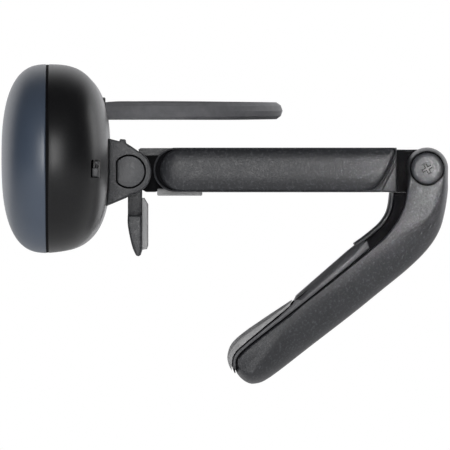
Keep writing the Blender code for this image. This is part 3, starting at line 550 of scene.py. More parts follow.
def makePlug():
    x, z = lead["plugX"], lead["plugZ"]
    grip = addPiece("plugGrip", plugShapes(), padRubber, "arm", "cable_jacket", "plug_grip")
    low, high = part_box("plug_shell")
    shell = boxShape(low, high)
    sides = edgesAlong(shell, 1)
    bevelEdges(shell, sides, 0.5 * mm, 4)
    shell = combineShapes(shell, boxShape((x - 5.62 * mm, low.y + 1 * mm, z - 1.87 * mm),
                                          (x + 5.62 * mm, high.y + 2 * mm, z + 1.87 * mm), 0.3 * mm, 3))
    for side in (-1, 1):
        for place in (-2.7, 2.7):
            middle = Vector((x + place * mm, low.y + 6.4 * mm, z + side * 2.25 * mm))
            half = Vector((1.1, 1.2, 0.7)) * mm
            shell = combineShapes(shell, boxShape(middle - half, middle + half, 0.15 * mm, 2))
    shellPiece = addPiece("plugShell", shell, steel, "arm", "washer_steel", "plug_shell")
    low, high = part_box("plug_insert")
    insert = addPiece("plugInsert", boxShape(low, high, 0.12 * mm, 2), glossBlack, "arm", "inner_black",
                      "plug_insert")
    strips = []
    for place, reach in ((-3.5, 0.5), (-1.0, 1.3), (1.0, 1.3), (3.5, 0.5)):
        middle = Vector((x + place * mm, high.y - reach * mm - 3.4 * mm, low.z - 0.03 * mm))
        half = Vector((0.55, 3.4, 0.05)) * mm
        strips.append(boxShape(middle - half, middle + half, 0.03 * mm, 1))
    contacts = addPiece("plugContacts", joinShapes(*strips), gold, "arm", "washer_steel")
    return grip, shellPiece, insert, contacts


def makeTie():
    low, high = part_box("cable_tie")
    outline = boxShape(low, high)
    longEdges = edgesAlong(outline, 1)
    bevelEdges(outline, longEdges, 1.2 * mm, 6)
    inset = 0.35 * mm
    hollow = boxShape(low + Vector((inset, -2 * mm, inset)), high - Vector((inset, -2 * mm, inset)))
    longEdges = edgesAlong(hollow, 1, 5e-3)
    bevelEdges(hollow, longEdges, 0.9 * mm, 6)
    band = combineShapes(outline, hollow)
    tie = addPiece("cableTie", band, padRubber, "arm", "strap", "cable_tie")
    return tie


plugPieces = makePlug()
tiePiece = makeTie()


def makeGrommet():
    low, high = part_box("cable_grommet")
    y, z = (low.y + high.y) / 2, (low.z + high.z) / 2
    x = (low.x + high.x) / 2
    profile = [(1.75, -1.1), (2.3, -1.1), (2.3, 0.9), (2.42, 1.0), (2.42, 1.35), (2.25, 1.5), (1.75, 1.5)]
    ring = turnedShape(inMetres(profile), (x, y, z), "Y", 48, closed=True)
    return addPiece("cableGrommet", ring, padRubber, "head", "rubber", "cable_grommet")


grommetPiece = makeGrommet()
print("plug, tie and grommet made")

# ---- housing ----

housing = {"wall": 1.6 * mm, "frontRoundness": 2.65, "rearRoundness": 2.9, "rearSlimming": 0.045,
           "edgeRound": 0.20 * mm, "steps": 26, "endSteps": 48, "tongue": 0.8 * mm}
endRadius = (frontHigh.z - frontLow.z) / 2
halfStraight = frontHigh.x - endRadius
middleZ = (frontHigh.z + frontLow.z) / 2
seamY = rearLow.y - 0.04 * mm
seamGap = 0.3 * mm
frontDepth = seamY - frontLow.y
rearDepth = rearHigh.y - seamY
screwX = 38 * mm
soundX = 30 * mm
lightX = 13.5 * mm


def superPoint(share, depth, radius, roundness):
    angle = math.radians(90) * share
    return (depth * math.sin(angle) ** (2 / roundness), radius * max(math.cos(angle), 0) ** (2 / roundness))


def halfProfile(depth, roundness, isRear):
    # (depth from the seam, radius) from the outer pole over the rim to the inner pole
    edge, gap, wall = housing["edgeRound"], seamGap / 2 + 0.04 * mm, housing["wall"]
    steps = housing["steps"]
    outer = [superPoint(1 - i / steps, depth, endRadius, roundness) for i in range(steps + 1)]
    outer[0] = (depth, 0.0)
    line = [p for p in outer if p[0] > gap + edge * 1.6]
    for i in range(5):
        a = math.radians(90) * i / 4
        line.append((gap + edge - edge * math.sin(a), endRadius - edge + edge * math.cos(a)))
    if isRear:
        line += [(gap, endRadius - 1.0 * mm), (-housing["tongue"], endRadius - 1.05 * mm),
                 (-housing["tongue"], endRadius - 1.35 * mm), (gap, endRadius - 1.4 * mm)]
    else:
        line += [(gap, endRadius - 0.8 * mm), (gap + 1.1 * mm, endRadius - 0.85 * mm)]
    inner = [superPoint(i / 12, depth - wall, endRadius - wall, roundness) for i in range(13)]
    inner[-1] = (depth - wall, 0.0)
    line += [p for p in inner if p[0] > gap + 1.2 * mm or isRear and p[0] > gap]
    return line


def housingShape(depth, direction, roundness, isRear, slimming=0.0):
    shape = bmesh.new()
    line = halfProfile(depth, roundness, isRear)
    verts = [shape.verts.new((0, seamY + direction * d, r)) for d, r in line]
    edges = [shape.edges.new(pair) for pair in zip(verts, verts[1:])]
    bmesh.ops.spin(shape, geom=verts + edges, cent=(0, 0, 0), axis=(0, 1, 0), angle=math.pi,
                   steps=housing["endSteps"])
    bmesh.ops.remove_doubles(shape, verts=shape.verts, dist=1e-6)
    bmesh.ops.translate(shape, vec=(halfStraight, 0, 0), verts=shape.verts)
    rim = [e for e in shape.edges if e.is_boundary]
    drawn = bmesh.ops.extrude_edge_only(shape, edges=rim)["geom"]
    bmesh.ops.translate(shape, vec=(-halfStraight, 0, 0),
                        verts=[v for v in drawn if isinstance(v, bmesh.types.BMVert)])
    for vert in shape.verts:
        along = max((vert.co.y - seamY) / (direction * depth), 0)
        if vert.co.z < 0:
            vert.co.z *= 1 - slimming * along
        vert.co.z += middleZ
    return mirrored(shape)


# x, radius and sides of each hole through the front: the lens, two for sound, the light
frontHoles = [(0, 8.2 * mm, 96), (-soundX, 0.6 * mm, 24), (soundX, 0.6 * mm, 24), (lightX, 1.1 * mm, 32)]
holeStart, holeEnd = -0.032, -0.0225


def makeHousing():
    front = housingShape(frontDepth, -1, housing["frontRoundness"], False)
    for x, radius, sides in frontHoles:
        hole = rodShape(radius, (x, holeStart, middleZ), (x, holeEnd, middleZ), sides)
        front = combineShapes(front, hole)
    addPiece("frontHousing", front, graphite, "head", "front_housing", "front_shell")

    rear = housingShape(rearDepth, 1, housing["rearRoundness"], True, housing["rearSlimming"])
    for x in (-screwX, screwX):
        rear = combineShapes(rear, rodShape(3.4 * mm, (x, -0.0195, middleZ), (x, -0.0128, middleZ)), "UNION")
        rear = combineShapes(rear, rodShape(1.4 * mm, (x, -0.021, middleZ), (x, -0.010, middleZ), 32))
        rear = combineShapes(rear, rodShape(2.5 * mm, (x, -0.0160, middleZ), (x, -0.010, middleZ), 48))
    for x in (-57.2 * mm, 57.2 * mm):
        window = boxShape((x - 6 * mm, -0.01445, 0.0029), (x + 6 * mm, -0.0129, 0.00595))
        across = edgesAlong(window, 0, 1e-4)
        bevelEdges(window, across, 0.25 * mm, 3)
        rear = combineShapes(rear, window)
    exitX, exitZ = leadRoute[0][0], leadRoute[0][2]
    rear = combineShapes(rear, rodShape(2.6 * mm, (exitX, -0.018, exitZ), (exitX, -0.009, exitZ), 48))
    addPiece("rearHousing", rear, rearBlack, "head", "rear_housing", "rear_shell")


def stadium(radius):
    # a straight-sided loop with round ends, as (x, z) points
    return ([(x + halfStraight, z) for x, z in arc((0, 0), radius, -90, 90, 48)]
            + [(x - halfStraight, z) for x, z in arc((0, 0), radius, 90, 270, 48)])


def makeSeamBand():
    # black ring at the floor of the seam: painted shade that gives the seam its dark line
    shape = bmesh.new()
    band = 0.2 * mm
    outer = [shape.verts.new((x, seamY - band, z + middleZ)) for x, z in stadium(endRadius - 0.07 * mm)]
    inner = [shape.verts.new((x, seamY - band, z + middleZ)) for x, z in stadium(endRadius - 0.78 * mm)]
    count = len(outer)
    for i in range(count):
        shape.faces.new((outer[i], outer[(i + 1) % count], inner[(i + 1) % count], inner[i]))
    grown = bmesh.ops.extrude_face_region(shape, geom=shape.faces[:])["geom"]
    bmesh.ops.translate(shape, vec=(0, 2 * band, 0),
                        verts=[v for v in grown if isinstance(v, bmesh.types.BMVert)])
    addPiece("seamBand", tidyShape(shape), shadeAndHolderBlack, "head", "inner_black")


makeHousing()
makeSeamBand()
print("housing made")


def crossTool(centre, axis, arm, width, depth, turn=0.0):
    # the cross of a driver, standing on the screw's face
    parts = []
    for quarter in (0, 90):
        bar = boxShape((-depth, -arm, -width / 2), (depth, arm, width / 2))
        for vert in bar.verts:
            if vert.co.x < 0:
                vert.co.y *= 0.8
        bmesh.ops.rotate(bar, verts=bar.verts, cent=(0, 0, 0),
                         matrix=Matrix.Rotation(math.radians(quarter + turn), 3, "X"))
        parts.append(bar)
    cross = combineShapes(parts[0], parts[1], "UNION")
    if axis == "Y":
        bmesh.ops.rotate(cross, verts=cross.verts, cent=(0, 0, 0),
                         matrix=Matrix.Rotation(math.radians(90), 3, "Z"))
    bmesh.ops.translate(cross, vec=centre, verts=cross.verts)
    return cross


def makeHousingFittings():
    for side, x in (("left", -screwX), ("right", screwX)):
        profile = [(0, 1.7), (1.5, 1.66), (1.95, 1.5), (2.17, 1.15), (2.2, 0.4), (2.2, 0), (1.0, 0),
                   (1.0, -9.6), (0, -9.6)]
        screw = turnedShape(inMetres(profile), (x, -0.0157, middleZ), "Y", 48)
        screw = combineShapes(screw,
                              crossTool((x, -0.0140, middleZ), "Y", 1.25 * mm, 0.42 * mm, 0.9 * mm, 20))
        addPiece("shellScrew_" + side, screw, darkScrew, "head", "screw_dark", "shell_screw_" + side)
    for side in ("left", "right"):
        low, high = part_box("snap_tab_" + side)
        tab = boxShape(low, high, 0.16 * mm, 3)
        hook = boxShape((low.x, low.y + 0.45 * mm, high.z + 0.5 * mm),
                        (high.x - 0.1 * mm, high.y, high.z + 1.15 * mm), 0.14 * mm, 3)
        stem = boxShape((low.x, low.y + 0.5 * mm, low.z),
                        (low.x + 0.9 * mm, high.y - 0.1 * mm, high.z + 1 * mm), 0.1 * mm, 2)
        addPiece("snapTab_" + side, joinShapes(tab, hook, stem), clipGrey, "head", "clip_plastic",
                 "snap_tab_" + side)


makeHousingFittings()


def makeCameraParts():
    ring = [(7.9, -26.2), (7.9, -29.05), (7.83, -29.35), (7.6, -29.56), (7.3, -29.6), (6.9, -29.58),
            (6.75, -29.5), (6.6, -29.2), (6.5, -29.12), (6.3, -29.08), (6.2, -28.8), (6.05, -28.72),
            (5.9, -28.6), (5.7, -28.5), (5.7, -28.35), (6.5, -28.35), (6.6, -28.2), (6.6, -26.2)]
    bezel = turnedShape(inMetres(ring), (0, 0, middleZ), "Y", 96, closed=True)
    addPiece("lensBezel", bezel, glossBlack, "head", "gloss_black", "lens_bezel")
    low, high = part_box("lens_window")
    reach = (high.x - low.x) / 2
    disc = [(0, high.y), (reach - 0.1 * mm, high.y), (reach, high.y - 0.1 * mm), (reach, low.y + 0.1 * mm),
            (reach - 0.1 * mm, low.y), (0, low.y)]
    addPiece("lensWindow", turnedShape(disc, (0, 0, middleZ), "Y", 80), windowGlass, "head", "clear_glass",
             "lens_window")
    # painted shade: a black ring behind the window, round the lens
    mask = [(6.1, -27.22), (6.1, -27.1), (3.4, -27.1), (3.4, -27.22)]
    addPiece("windowMask", turnedShape(inMetres(mask), (0, 0, middleZ), "Y", 80, closed=True),
             shadeAndHolderBlack, "head", "inner_black")
    barrel = [(4.8, -25.5), (4.8, -26.7), (4.7, -26.8), (3.3, -26.8), (3.2, -26.6), (3.05, -26.6),
              (3.0, -26.4), (2.85, -26.4), (2.8, -25.9), (2.5, -25.7), (2.4, -25.5), (2.4, -22.6),
              (3.6, -22.6)]
    for step in range(6):
        height = -22.9 - step * 0.42
        barrel += [(3.6, height), (3.78, height - 0.1), (3.78, height - 0.2), (3.6, height - 0.3)]
    barrel += [(3.6, -25.5)]
    addPiece("lensBarrel", turnedShape(inMetres(barrel), (0, 0, middleZ), "Y", 72, closed=True),
             glossBlack, "head", "inner_black", "lens_barrel")
    low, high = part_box("lens_element")
    reach = (high.x - low.x) / 2
    dome = [(0, high.y), (reach, high.y), (reach, high.y - 0.15 * mm)]
    for step in range(1, 11):
        share = step / 10
        dome.append((reach * math.cos(math.radians(90 * share)), high.y - 0.15 * mm
                     - (high.y - 0.15 * mm - low.y) * math.sin(math.radians(90 * share))))
    dome[-1] = (0, low.y)
    addPiece("lensElement", turnedShape(dome, (0, 0, middleZ), "Y", 64), elementGlass, "head", "lens_glass",
             "lens_element")
    low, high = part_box("status_light")
    reach = (high.x - low.x) / 2
    pipe = [(0, high.y), (reach, high.y), (reach, low.y + 0.15 * mm), (reach * 0.8, low.y + 0.03 * mm),
            (0, low.y)]
    addPiece("statusLight", turnedShape(pipe, (lightX, 0, middleZ), "Y", 40), pipeClear, "head",
             "light_pipe", "status_light")


makeCameraParts()
print("lens and lights made")

# ---- tilt hinge ----

hinge = {"y": -8.25 * mm, "z": 4.1 * mm, "knuckle": 3.85 * mm, "halfWidth": 12 * mm, "earInner": 7.2 * mm,
         "bore": 1.7 * mm, "capRadius": 2.64 * mm, "capFlat": 2.0 * mm, "recessFloor": 10.7 * mm,
         "gap": 0.3 * mm}


def rearFaceY(z):
    share = min(abs(z - middleZ) / endRadius, 1)
    return seamY + rearDepth * (1 - share ** housing["rearRoundness"]) ** (1 / housing["rearRoundness"])


def capOutline(margin=0.0):
    radius, flat = hinge["capRadius"] + margin, hinge["capFlat"] + margin
    reach = math.degrees(math.acos(-flat / radius))
    return arc((hinge["y"], hinge["z"]), radius, -reach, reach, 40)


def makeBracket():
    against = [(rearFaceY(z) + 0.03 * mm, z) for z in [(9.8 - 11.6 * step / 14) * mm for step in range(15)]]
    roundEnd = arc((hinge["y"], hinge["z"]), hinge["knuckle"], -80, 66, 30)
    top = inMetres([(-7.6, 8.25), (-8.6, 8.9), (-8.85, 9.1), (-8.95, 9.62), (-9.75, 9.68), (-9.95, 9.3)])
    shape = prismShape(against + inMetres([(-8.95, -0.42)]) + roundEnd + top, -hinge["halfWidth"],
                       hinge["halfWidth"])
    roundRims(shape, 0.4 * mm, 4)
    shape = combineShapes(shape,
                          boxShape((-hinge["earInner"], -0.01095, -0.004), (hinge["earInner"], 0.0, 0.012)))
    shape = combineShapes(shape, boxShape((-hinge["earInner"], -0.014, -0.004),
                                          (hinge["earInner"], -0.0100, 0.0018)))
    pin = (hinge["y"], hinge["z"])
    shape = combineShapes(shape, rodShape(hinge["bore"], (-0.014, *pin), (0.014, *pin), 40))
    for sign in (-1, 1):
        inner, outer = sorted((sign * hinge["recessFloor"], sign * 14 * mm))
        pocket = prismShape(capOutline(hinge["gap"]), inner, outer)
        roundCorners(pocket, 0.7 * mm, 4, 30)
        shape = combineShapes(shape, pocket)
    addPiece("hingeBracket", shape, clipGrey, "head", "clip_plastic", "hinge_bracket")
    for side, sign in bothSides:
        low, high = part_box("hinge_cap_" + side)
        cap = prismShape(capOutline(), low.x, high.x)
        roundCorners(cap, 0.7 * mm, 4, 30)
        roundRims(cap, 0.16 * mm, 3)
        addPiece("hingeCap_" + side, cap, capGrey, "head", "clip_plastic", "hinge_cap_" + side)
    # painted shade: a black sheet in each cap's pocket, seen as a dark line round each cap
    for side, sign in bothSides:
        inner, outer = sorted((sign * (hinge["recessFloor"] + 0.02 * mm),
                               sign * (hinge["recessFloor"] + 0.25 * mm)))
        floor = prismShape(capOutline(hinge["gap"] * 0.9), inner, outer)
        addPiece("capPocket_" + side, floor, shadeAndHolderBlack, "head", "inner_black")


makeBracket()
print("tilt hinge made")

# ---- clip arm ----

arm = {"beamHalf": 9 * mm, "frontY": -4.1 * mm, "rearY": 37.6 * mm, "bottom": 0.6 * mm, "top": 8.2 * mm,
       "tongueHalf": 6 * mm, "coverInner": 9.3 * mm, "coverOuter": 12 * mm}
fold = {"y": 42.8 * mm, "z": 4.6 * mm, "headRadius": 3.65 * mm, "screwRadius": 2.7 * mm}


def makeArmFrame():
    middle, radius = (arm["top"] + arm["bottom"]) / 2, (arm["top"] - arm["bottom"]) / 2
    outline = arc((arm["frontY"] + radius, middle), radius, 90, 270, 32)
    outline += [(arm["rearY"], arm["bottom"]), (arm["rearY"], arm["top"])]
    shape = roundRims(prismShape(outline, -arm["beamHalf"], arm["beamHalf"]), 0.25 * mm, 2)
    front = arc((hinge["y"], hinge["z"]), 2.4 * mm, 90, 270, 24)
    front += inMetres([(-6.4, 1.2), (-5.4, 0.62), (-1.0, 0.62), (-1.0, 8.15), (-6.3, 8.15), (-6.7, 7.9),
                       (-6.5, 7.1), (-6.0, 7.0)])
    shape = combineShapes(shape, prismShape(front, -arm["tongueHalf"], arm["tongueHalf"]), "UNION")
    neck = boxShape((-6 * mm, -0.0085, -0.0038), (6 * mm, -0.00608, 0.0024), 0.2 * mm, 2)
    shape = combineShapes(shape, neck, "UNION")
    rear = arc((fold["y"], fold["z"]), 3.3 * mm, 90, -90, 28) + inMetres([(35.5, 1.3), (35.5, 7.9)])
    shape = combineShapes(shape, prismShape(rear, -arm["tongueHalf"], arm["tongueHalf"]), "UNION")
    shoulder = prismShape(inMetres([(34.9, 0.65), (37.5, 0.65), (37.5, 5.7)]), -11.5 * mm, 11.5 * mm)
    roundRims(shoulder, 0.18 * mm, 3)
    shape = combineShapes(shape, shoulder, "UNION")
    for y, z in ((hinge["y"], hinge["z"]), (fold["y"], fold["z"])):
        shape = combineShapes(shape, rodShape(hinge["bore"], (-0.014, y, z), (0.014, y, z), 40))
    shape = combineShapes(shape, boxShape((-8.1 * mm, -0.00375, -0.001), (8.1 * mm, 0.00455, 0.0015)))
    # shallow panel let into the top
    panel = boxShape((-5.6 * mm, 0.004, arm["top"] - 0.35 * mm), (5.6 * mm, 0.031, arm["top"] + 0.5 * mm))
    upright = edgesAlong(panel, 2)
    bevelEdges(panel, upright, 1.6 * mm, 6)
    shape = combineShapes(shape, panel)
    # weight-saving channels in the underside, with ribs left between them
    for step in range(4):
        y = (7.4 + step * 6.6) * mm
        channel = boxShape((-6.4 * mm, y, arm["bottom"] - 0.5 * mm),
                           (6.4 * mm, y + 5.4 * mm, arm["bottom"] + 1.6 * mm))
        upright = edgesAlong(channel, 2)
        bevelEdges(channel, upright, 0.9 * mm, 4)
        shape = combineShapes(shape, channel)
    addPiece("armFrame", shape, clipGrey, "arm", "clip_plastic", "arm_frame")
    # black cheeks on the two tongues, where the frame runs into its hinges: painted shade for the dark gaps
    # there
    front = inMetres([(-6.6, 1.3), (-5.4, 0.7), (-1.2, 0.7), (-1.2, 6.9), (-6.4, 6.9)])
    rear = inMetres([(37.3, 0.6), (40.2, 0.6), (40.9, 1.5), (40.9, 7.8), (37.3, 7.8)])
    for place, outline in (("Front", front), ("Rear", rear)):
        for side, sign in bothSides:
            inner, outer = sorted((sign * 5.8 * mm, sign * 6.12 * mm))
            addPiece("cheek" + place + "_" + side, prismShape(outline, inner, outer), shadeAndHolderBlack, "arm",
                     "inner_black")


def makeLip():
    points = smoothLine([Vector(p) for p in inMetres([(-8.5, -3.35), (-8.5, -4.9), (-8.15, -7.0),
                                                      (-7.65, -9.0), (-7.1, -10.2)])], 4)
    outline = [tuple(p) for p in points] + inMetres([(-6.85, -10.38), (-6.6, -10.4), (-6.35, -10.2),
                                                     (-6.08, -9.4), (-6.08, -3.35)])
    shape = prismShape(outline, -11 * mm, 11 * mm)
    roundRims(shape, 0.45 * mm, 5)
    addPiece("clipLip", shape, clipGrey, "arm", "clip_plastic")


def coverOutline():
    middle, radius = (arm["top"] + arm["bottom"]) / 2, (arm["top"] - arm["bottom"]) / 2
    outline = arc((arm["frontY"] + radius, middle), radius, 90, 270, 36)
    outline += [tuple(p) for p in smoothLine([Vector(p) for p in inMetres(
        [(31.6, 0.6), (33.4, 0.78), (34.6, 1.6), (35.7, 3.1), (36.8, 5.1), (37.6, 7.3)])], 5)]
    outline += inMetres([(37.55, 7.9), (37.1, 8.2)])
    return outline


def startOutline(outline, x):
    # a face ready to be drawn out in X, with the outline's points and the way inwards at each
    points = [Vector(p[:2]) for p in outline]
    around = list(zip(points[-1:] + points[:-1], points, points[1:] + points[:1]))
    turn = 1 if sum(a.x * b.y - b.x * a.y for a, b, c in around) > 0 else -1
    inwards = [Vector((-(c - a).y, (c - a).x)).normalized() * turn for a, b, c in around]
    shape = bmesh.new()
    spot = shape.verts.layers.int.new("spot")
    ring = [shape.verts.new((x, *p)) for p in points]
    for index, vert in enumerate(ring):
        vert[spot] = index
    return shape, shape.faces.new(ring), spot, points, inwards


def drawOut(shape, face, keepsFace=False):
    # a new face over the old one, which is only kept where it closes the piece
    grown = bmesh.ops.extrude_face_region(shape, geom=[face])["geom"]
    lifted = next(f for f in grown if isinstance(f, bmesh.types.BMFace))
    if not keepsFace:
        bmesh.ops.delete(shape, geom=[face], context="FACES_ONLY")
    return lifted


def risenShape(outline, levels):
    # a side piece worked outwards in X: each level is (x, how far it draws in where the share is 1)
    shape, face, spot, points, inwards = startOutline(outline, levels[0][0])
    shares = [p[2] if len(p) > 2 else 1 for p in outline]
    for step, (x, drawnIn) in enumerate(levels[1:]):
        face = drawOut(shape, face, keepsFace=step == 0)
        for vert in face.verts:
            index = vert[spot]
            vert.co = (x, *(points[index] + inwards[index] * drawnIn * shares[index]))
    return tidyShape(shape)


def makeCover(side, sign):
    inner = arm["coverInner"]
    rim = [(inner, 0), (inner + 1.75 * mm, 0), (inner + 1.9 * mm, 0.05 * mm), (inner + 1.95 * mm, 0.14 * mm),
           (inner + 1.9 * mm, 0.26 * mm), (inner + 1.75 * mm, 0.32 * mm), (inner + 1.2 * mm, 0.36 * mm)]
    plate = risenShape(coverOutline(), rim)
    crown, reach = 1.4 * mm, 3.1 * mm
    outer = arm["coverOuter"]
    levels = [(inner + 0.9 * mm, 0)]
    for degrees in range(0, 91, 9):
        a = math.radians(degrees)
        levels.append((outer - crown + crown * math.sin(a), reach * (1 - math.cos(a))))
    boss = risenShape(bossOutline(), levels)
    # painted shade: a black floor in the groove between rim and face, for the groove's shadow
    floor = risenShape(coverOutline(), [(inner + 0.5 * mm, 0), (inner + 0.6 * mm, 0.33 * mm),
                                        (inner + 1.26 * mm, 0.33 * mm)])
    if sign < 0:
        for shape in (plate, boss, floor):
            bmesh.ops.scale(shape, vec=(-1, 1, 1), verts=shape.verts)
            bmesh.ops.recalc_face_normals(shape, faces=shape.faces)
    addPiece("armCover_" + side, joinShapes(plate, boss), clipGrey, "arm", "clip_plastic",
             "arm_cover_" + side, sharp=50)
    addPiece("coverGroove_" + side, floor, shadeAndHolderBlack, "arm", "inner_black")


def bossOutline():
    # the crowned face inside the cover's rim: rounded over above and below, steep at the slanted end
    middle, radius = (arm["top"] + arm["bottom"]) / 2, (arm["top"] - arm["bottom"]) / 2 - 0.05 * mm
    outline = [(*p, 1) for p in arc((-2.95 * mm + radius, middle), radius, 90, 270, 36)]
    outline += stretch([(28.0, 0.65), (30.6, 0.68), (32.6, 0.82), (34.0, 1.5), (35.1, 2.75), (36.1, 4.5),
                        (36.95, 6.4), (37.2, 7.5), (36.9, 8.0), (36.2, 8.15), (34.5, 8.15), (31.0, 8.15)],
                       [1, 0.95, 0.7, 0.35, 0.2, 0.16, 0.16, 0.16, 0.3, 0.5, 0.85, 1])
    return outline


def stretch(points, shares, steps=4):
    # a smooth run of outline points whose shares run evenly through the given ones
    line = smoothLine([Vector((*p, s)) for p, s in zip(inMetres(points), shares)], steps)
    return [tuple(p) for p in line]


def makeArm():
    makeArmFrame()
    makeLip()
    for side, sign in bothSides:
        makeCover(side, sign)
    low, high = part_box("rest_pad")
    pad = boxShape(low, high, 0.2 * mm, 3)
    for step in range(-4, 5):
        x = step * 1.6 * mm
        groove = boxShape((x - 0.25 * mm, low.y + 0.6 * mm, -0.001),
                          (x + 0.25 * mm, high.y - 0.6 * mm, 0.00025), 0.1 * mm, 2)
        pad = combineShapes(pad, groove)
    # the rest pad's pale rubber carries painted light, for the glow it catches from the white surroundings
    addPiece("restPad", pad, paleGlowRubber, "arm", "rubber", "rest_pad")
    outline = inMetres([(-6.07, -0.4), (-6.07, -9.3), (-5.3, -9.2), (-5.05, -8.6), (-5.05, -1.5),
                        (-5.7, -0.4)])
    pad = prismShape(outline, -10.5 * mm, 10.5 * mm)
    roundRims(pad, 0.3 * mm, 3)
    for step in range(-5, 6):
        x = step * 1.8 * mm
        groove = boxShape((x - 0.28 * mm, -0.00535, -0.0082), (x + 0.28 * mm, -0.0045, -0.0022), 0.1 * mm, 2)
        pad = combineShapes(pad, groove)
    addPiece("lipPad", pad, paleGlowRubber, "arm", "rubber", "lip_pad")


makeArm()
print("arm made")

# ---- folding leg ----


def softSlab(outline, halfWidth, flatHalf, reach, edge=0.22 * mm, levels=9):
    # outline is (y, z, share): the sides curve away by reach where share is 1, and stay square where it is 0
    shape, face, spot, points, inwards = startOutline(outline, 0)
    shares = [p[2] for p in outline]
    depth = halfWidth - flatHalf
    heights = {flatHalf + depth * math.sin(math.radians(90 * level / levels)) for level in range(levels + 1)}
    heights |= {halfWidth - edge, halfWidth - edge * 0.6, halfWidth - edge * 0.25}
    for x in sorted(heights):
        face = drawOut(shape, face)
        large = 1 - math.sqrt(max(0, 1 - ((x - flatHalf) / depth) ** 2))
        small = 1 - math.sqrt(max(0, 1 - (max(0, x - halfWidth + edge) / edge) ** 2))
        for vert in face.verts:
            index = vert[spot]
            moved = points[index] + inwards[index] * max(reach * shares[index] * large, edge * small)
            vert.co = (x, *moved)
    return mirrored(shape)


seam = [(10.4, -27.9), (12.6, -25.7), (20.0, -19.95), (27.0, -14.3), (33.3, -9.2), (36.6, -5.9),
        (38.7, -2.3), (39.35, 0.6)]


def makeLegShell():
    head = [(*p, 0.12) for p in arc((fold["y"], fold["z"]), fold["headRadius"], 196, 4, 34)]
    back = stretch([(46.42, 2.6), (46.38, 0.6), (45.85, -2.9), (44.9, -6.1), (42.9, -9.2), (39.6, -12.5),
                    (34.9, -16.35), (29.9, -20.4), (22.9, -25.8), (16.0, -31.1), (13.4, -32.25),
                    (11.75, -31.95), (10.3, -30.6), (9.95, -29.2), (10.4, -27.9)],
                   [0.14, 0.2, 0.35, 0.6, 0.85, 1, 1, 1, 0.95, 0.55, 0.36, 0.28, 0.2, 0.1, 0])
    inner = stretch(seam, [0] * len(seam))
    outline = head + back + inner[1:]
    shape = softSlab(outline, 12 * mm, 6.5 * mm, 6.4 * mm, 0.3 * mm, 12)
    slot = arc((fold["y"], fold["z"]), 4.2 * mm, 90, -90, 20) + [(0.0330, 0.0004), (0.0330, 0.0120)]
    shape = combineShapes(shape, prismShape(slot, -7.2 * mm, 7.2 * mm))
    pin = (fold["y"], fold["z"])
    shape = combineShapes(shape, rodShape(hinge["bore"], (-0.014, *pin), (0.014, *pin), 40))
    for sign in (-1, 1):
        shape = combineShapes(shape, rodShape(fold["screwRadius"] + 0.3 * mm, (sign * 10.7 * mm, *pin),
                                              (sign * 14 * mm, *pin), 72))
    addPiece("legShell", shape, clipGrey, "leg", "clip_plastic", "leg_shell")


def makeLegRib():
    edgeSide = stretch([(36.8, 0.57), (36.5, -1.7), (35.95, -3.4), (34.75, -5.1), (32.5, -6.9),
                        (30.6, -8.3)],
                       [0.8, 1, 1, 1, 1, 0.8])
    outline = edgeSide + inMetres([(31.3, -11.0, 0), (34.2, -9.4, 0), (37.6, -5.6, 0), (39.8, -2.0, 0),
                                   (40.5, -2.0, 0), (40.5, 0.57, 0)])
    # the rib is black as painted shade, for the shaded channel inside the bend
    addPiece("legRib", softSlab(outline, 9.6 * mm, 4.5 * mm, 0.5 * mm), shadeAndHolderBlack, "leg", "inner_black")
    # the rib's rim, in the shell's own grey, paler than the painted-shade rib
    rim = stretch([(36.45, 0.55), (36.15, -1.7), (35.6, -3.3), (34.4, -4.9), (32.2, -6.75), (30.2, -8.2)],
                  [0.9, 1, 1, 1, 1, 0.9])
    rim += stretch([(30.6, -8.75), (32.65, -7.3), (34.95, -5.4), (36.2, -3.6), (36.8, -1.8), (37.1, 0.55)],
                   [0] * 6)
    addPiece("legRibRim", softSlab(rim, 10.4 * mm, 9.6 * mm, 0.4 * mm, 0.15 * mm, 5), clipGrey, "leg",
             "clip_plastic")


def offsetSeam(gap):
    # the seam's line moved towards the inside of the bend
    points = [Vector(p) for p in seam]
    moved = []
    for a, b, c in zip(points[:1] + points[:-1], points, points[1:] + points[-1:]):
        along = (c - a).normalized()
        moved.append(b + Vector((-along.y, along.x)) * gap)
    return [tuple(p) for p in moved]


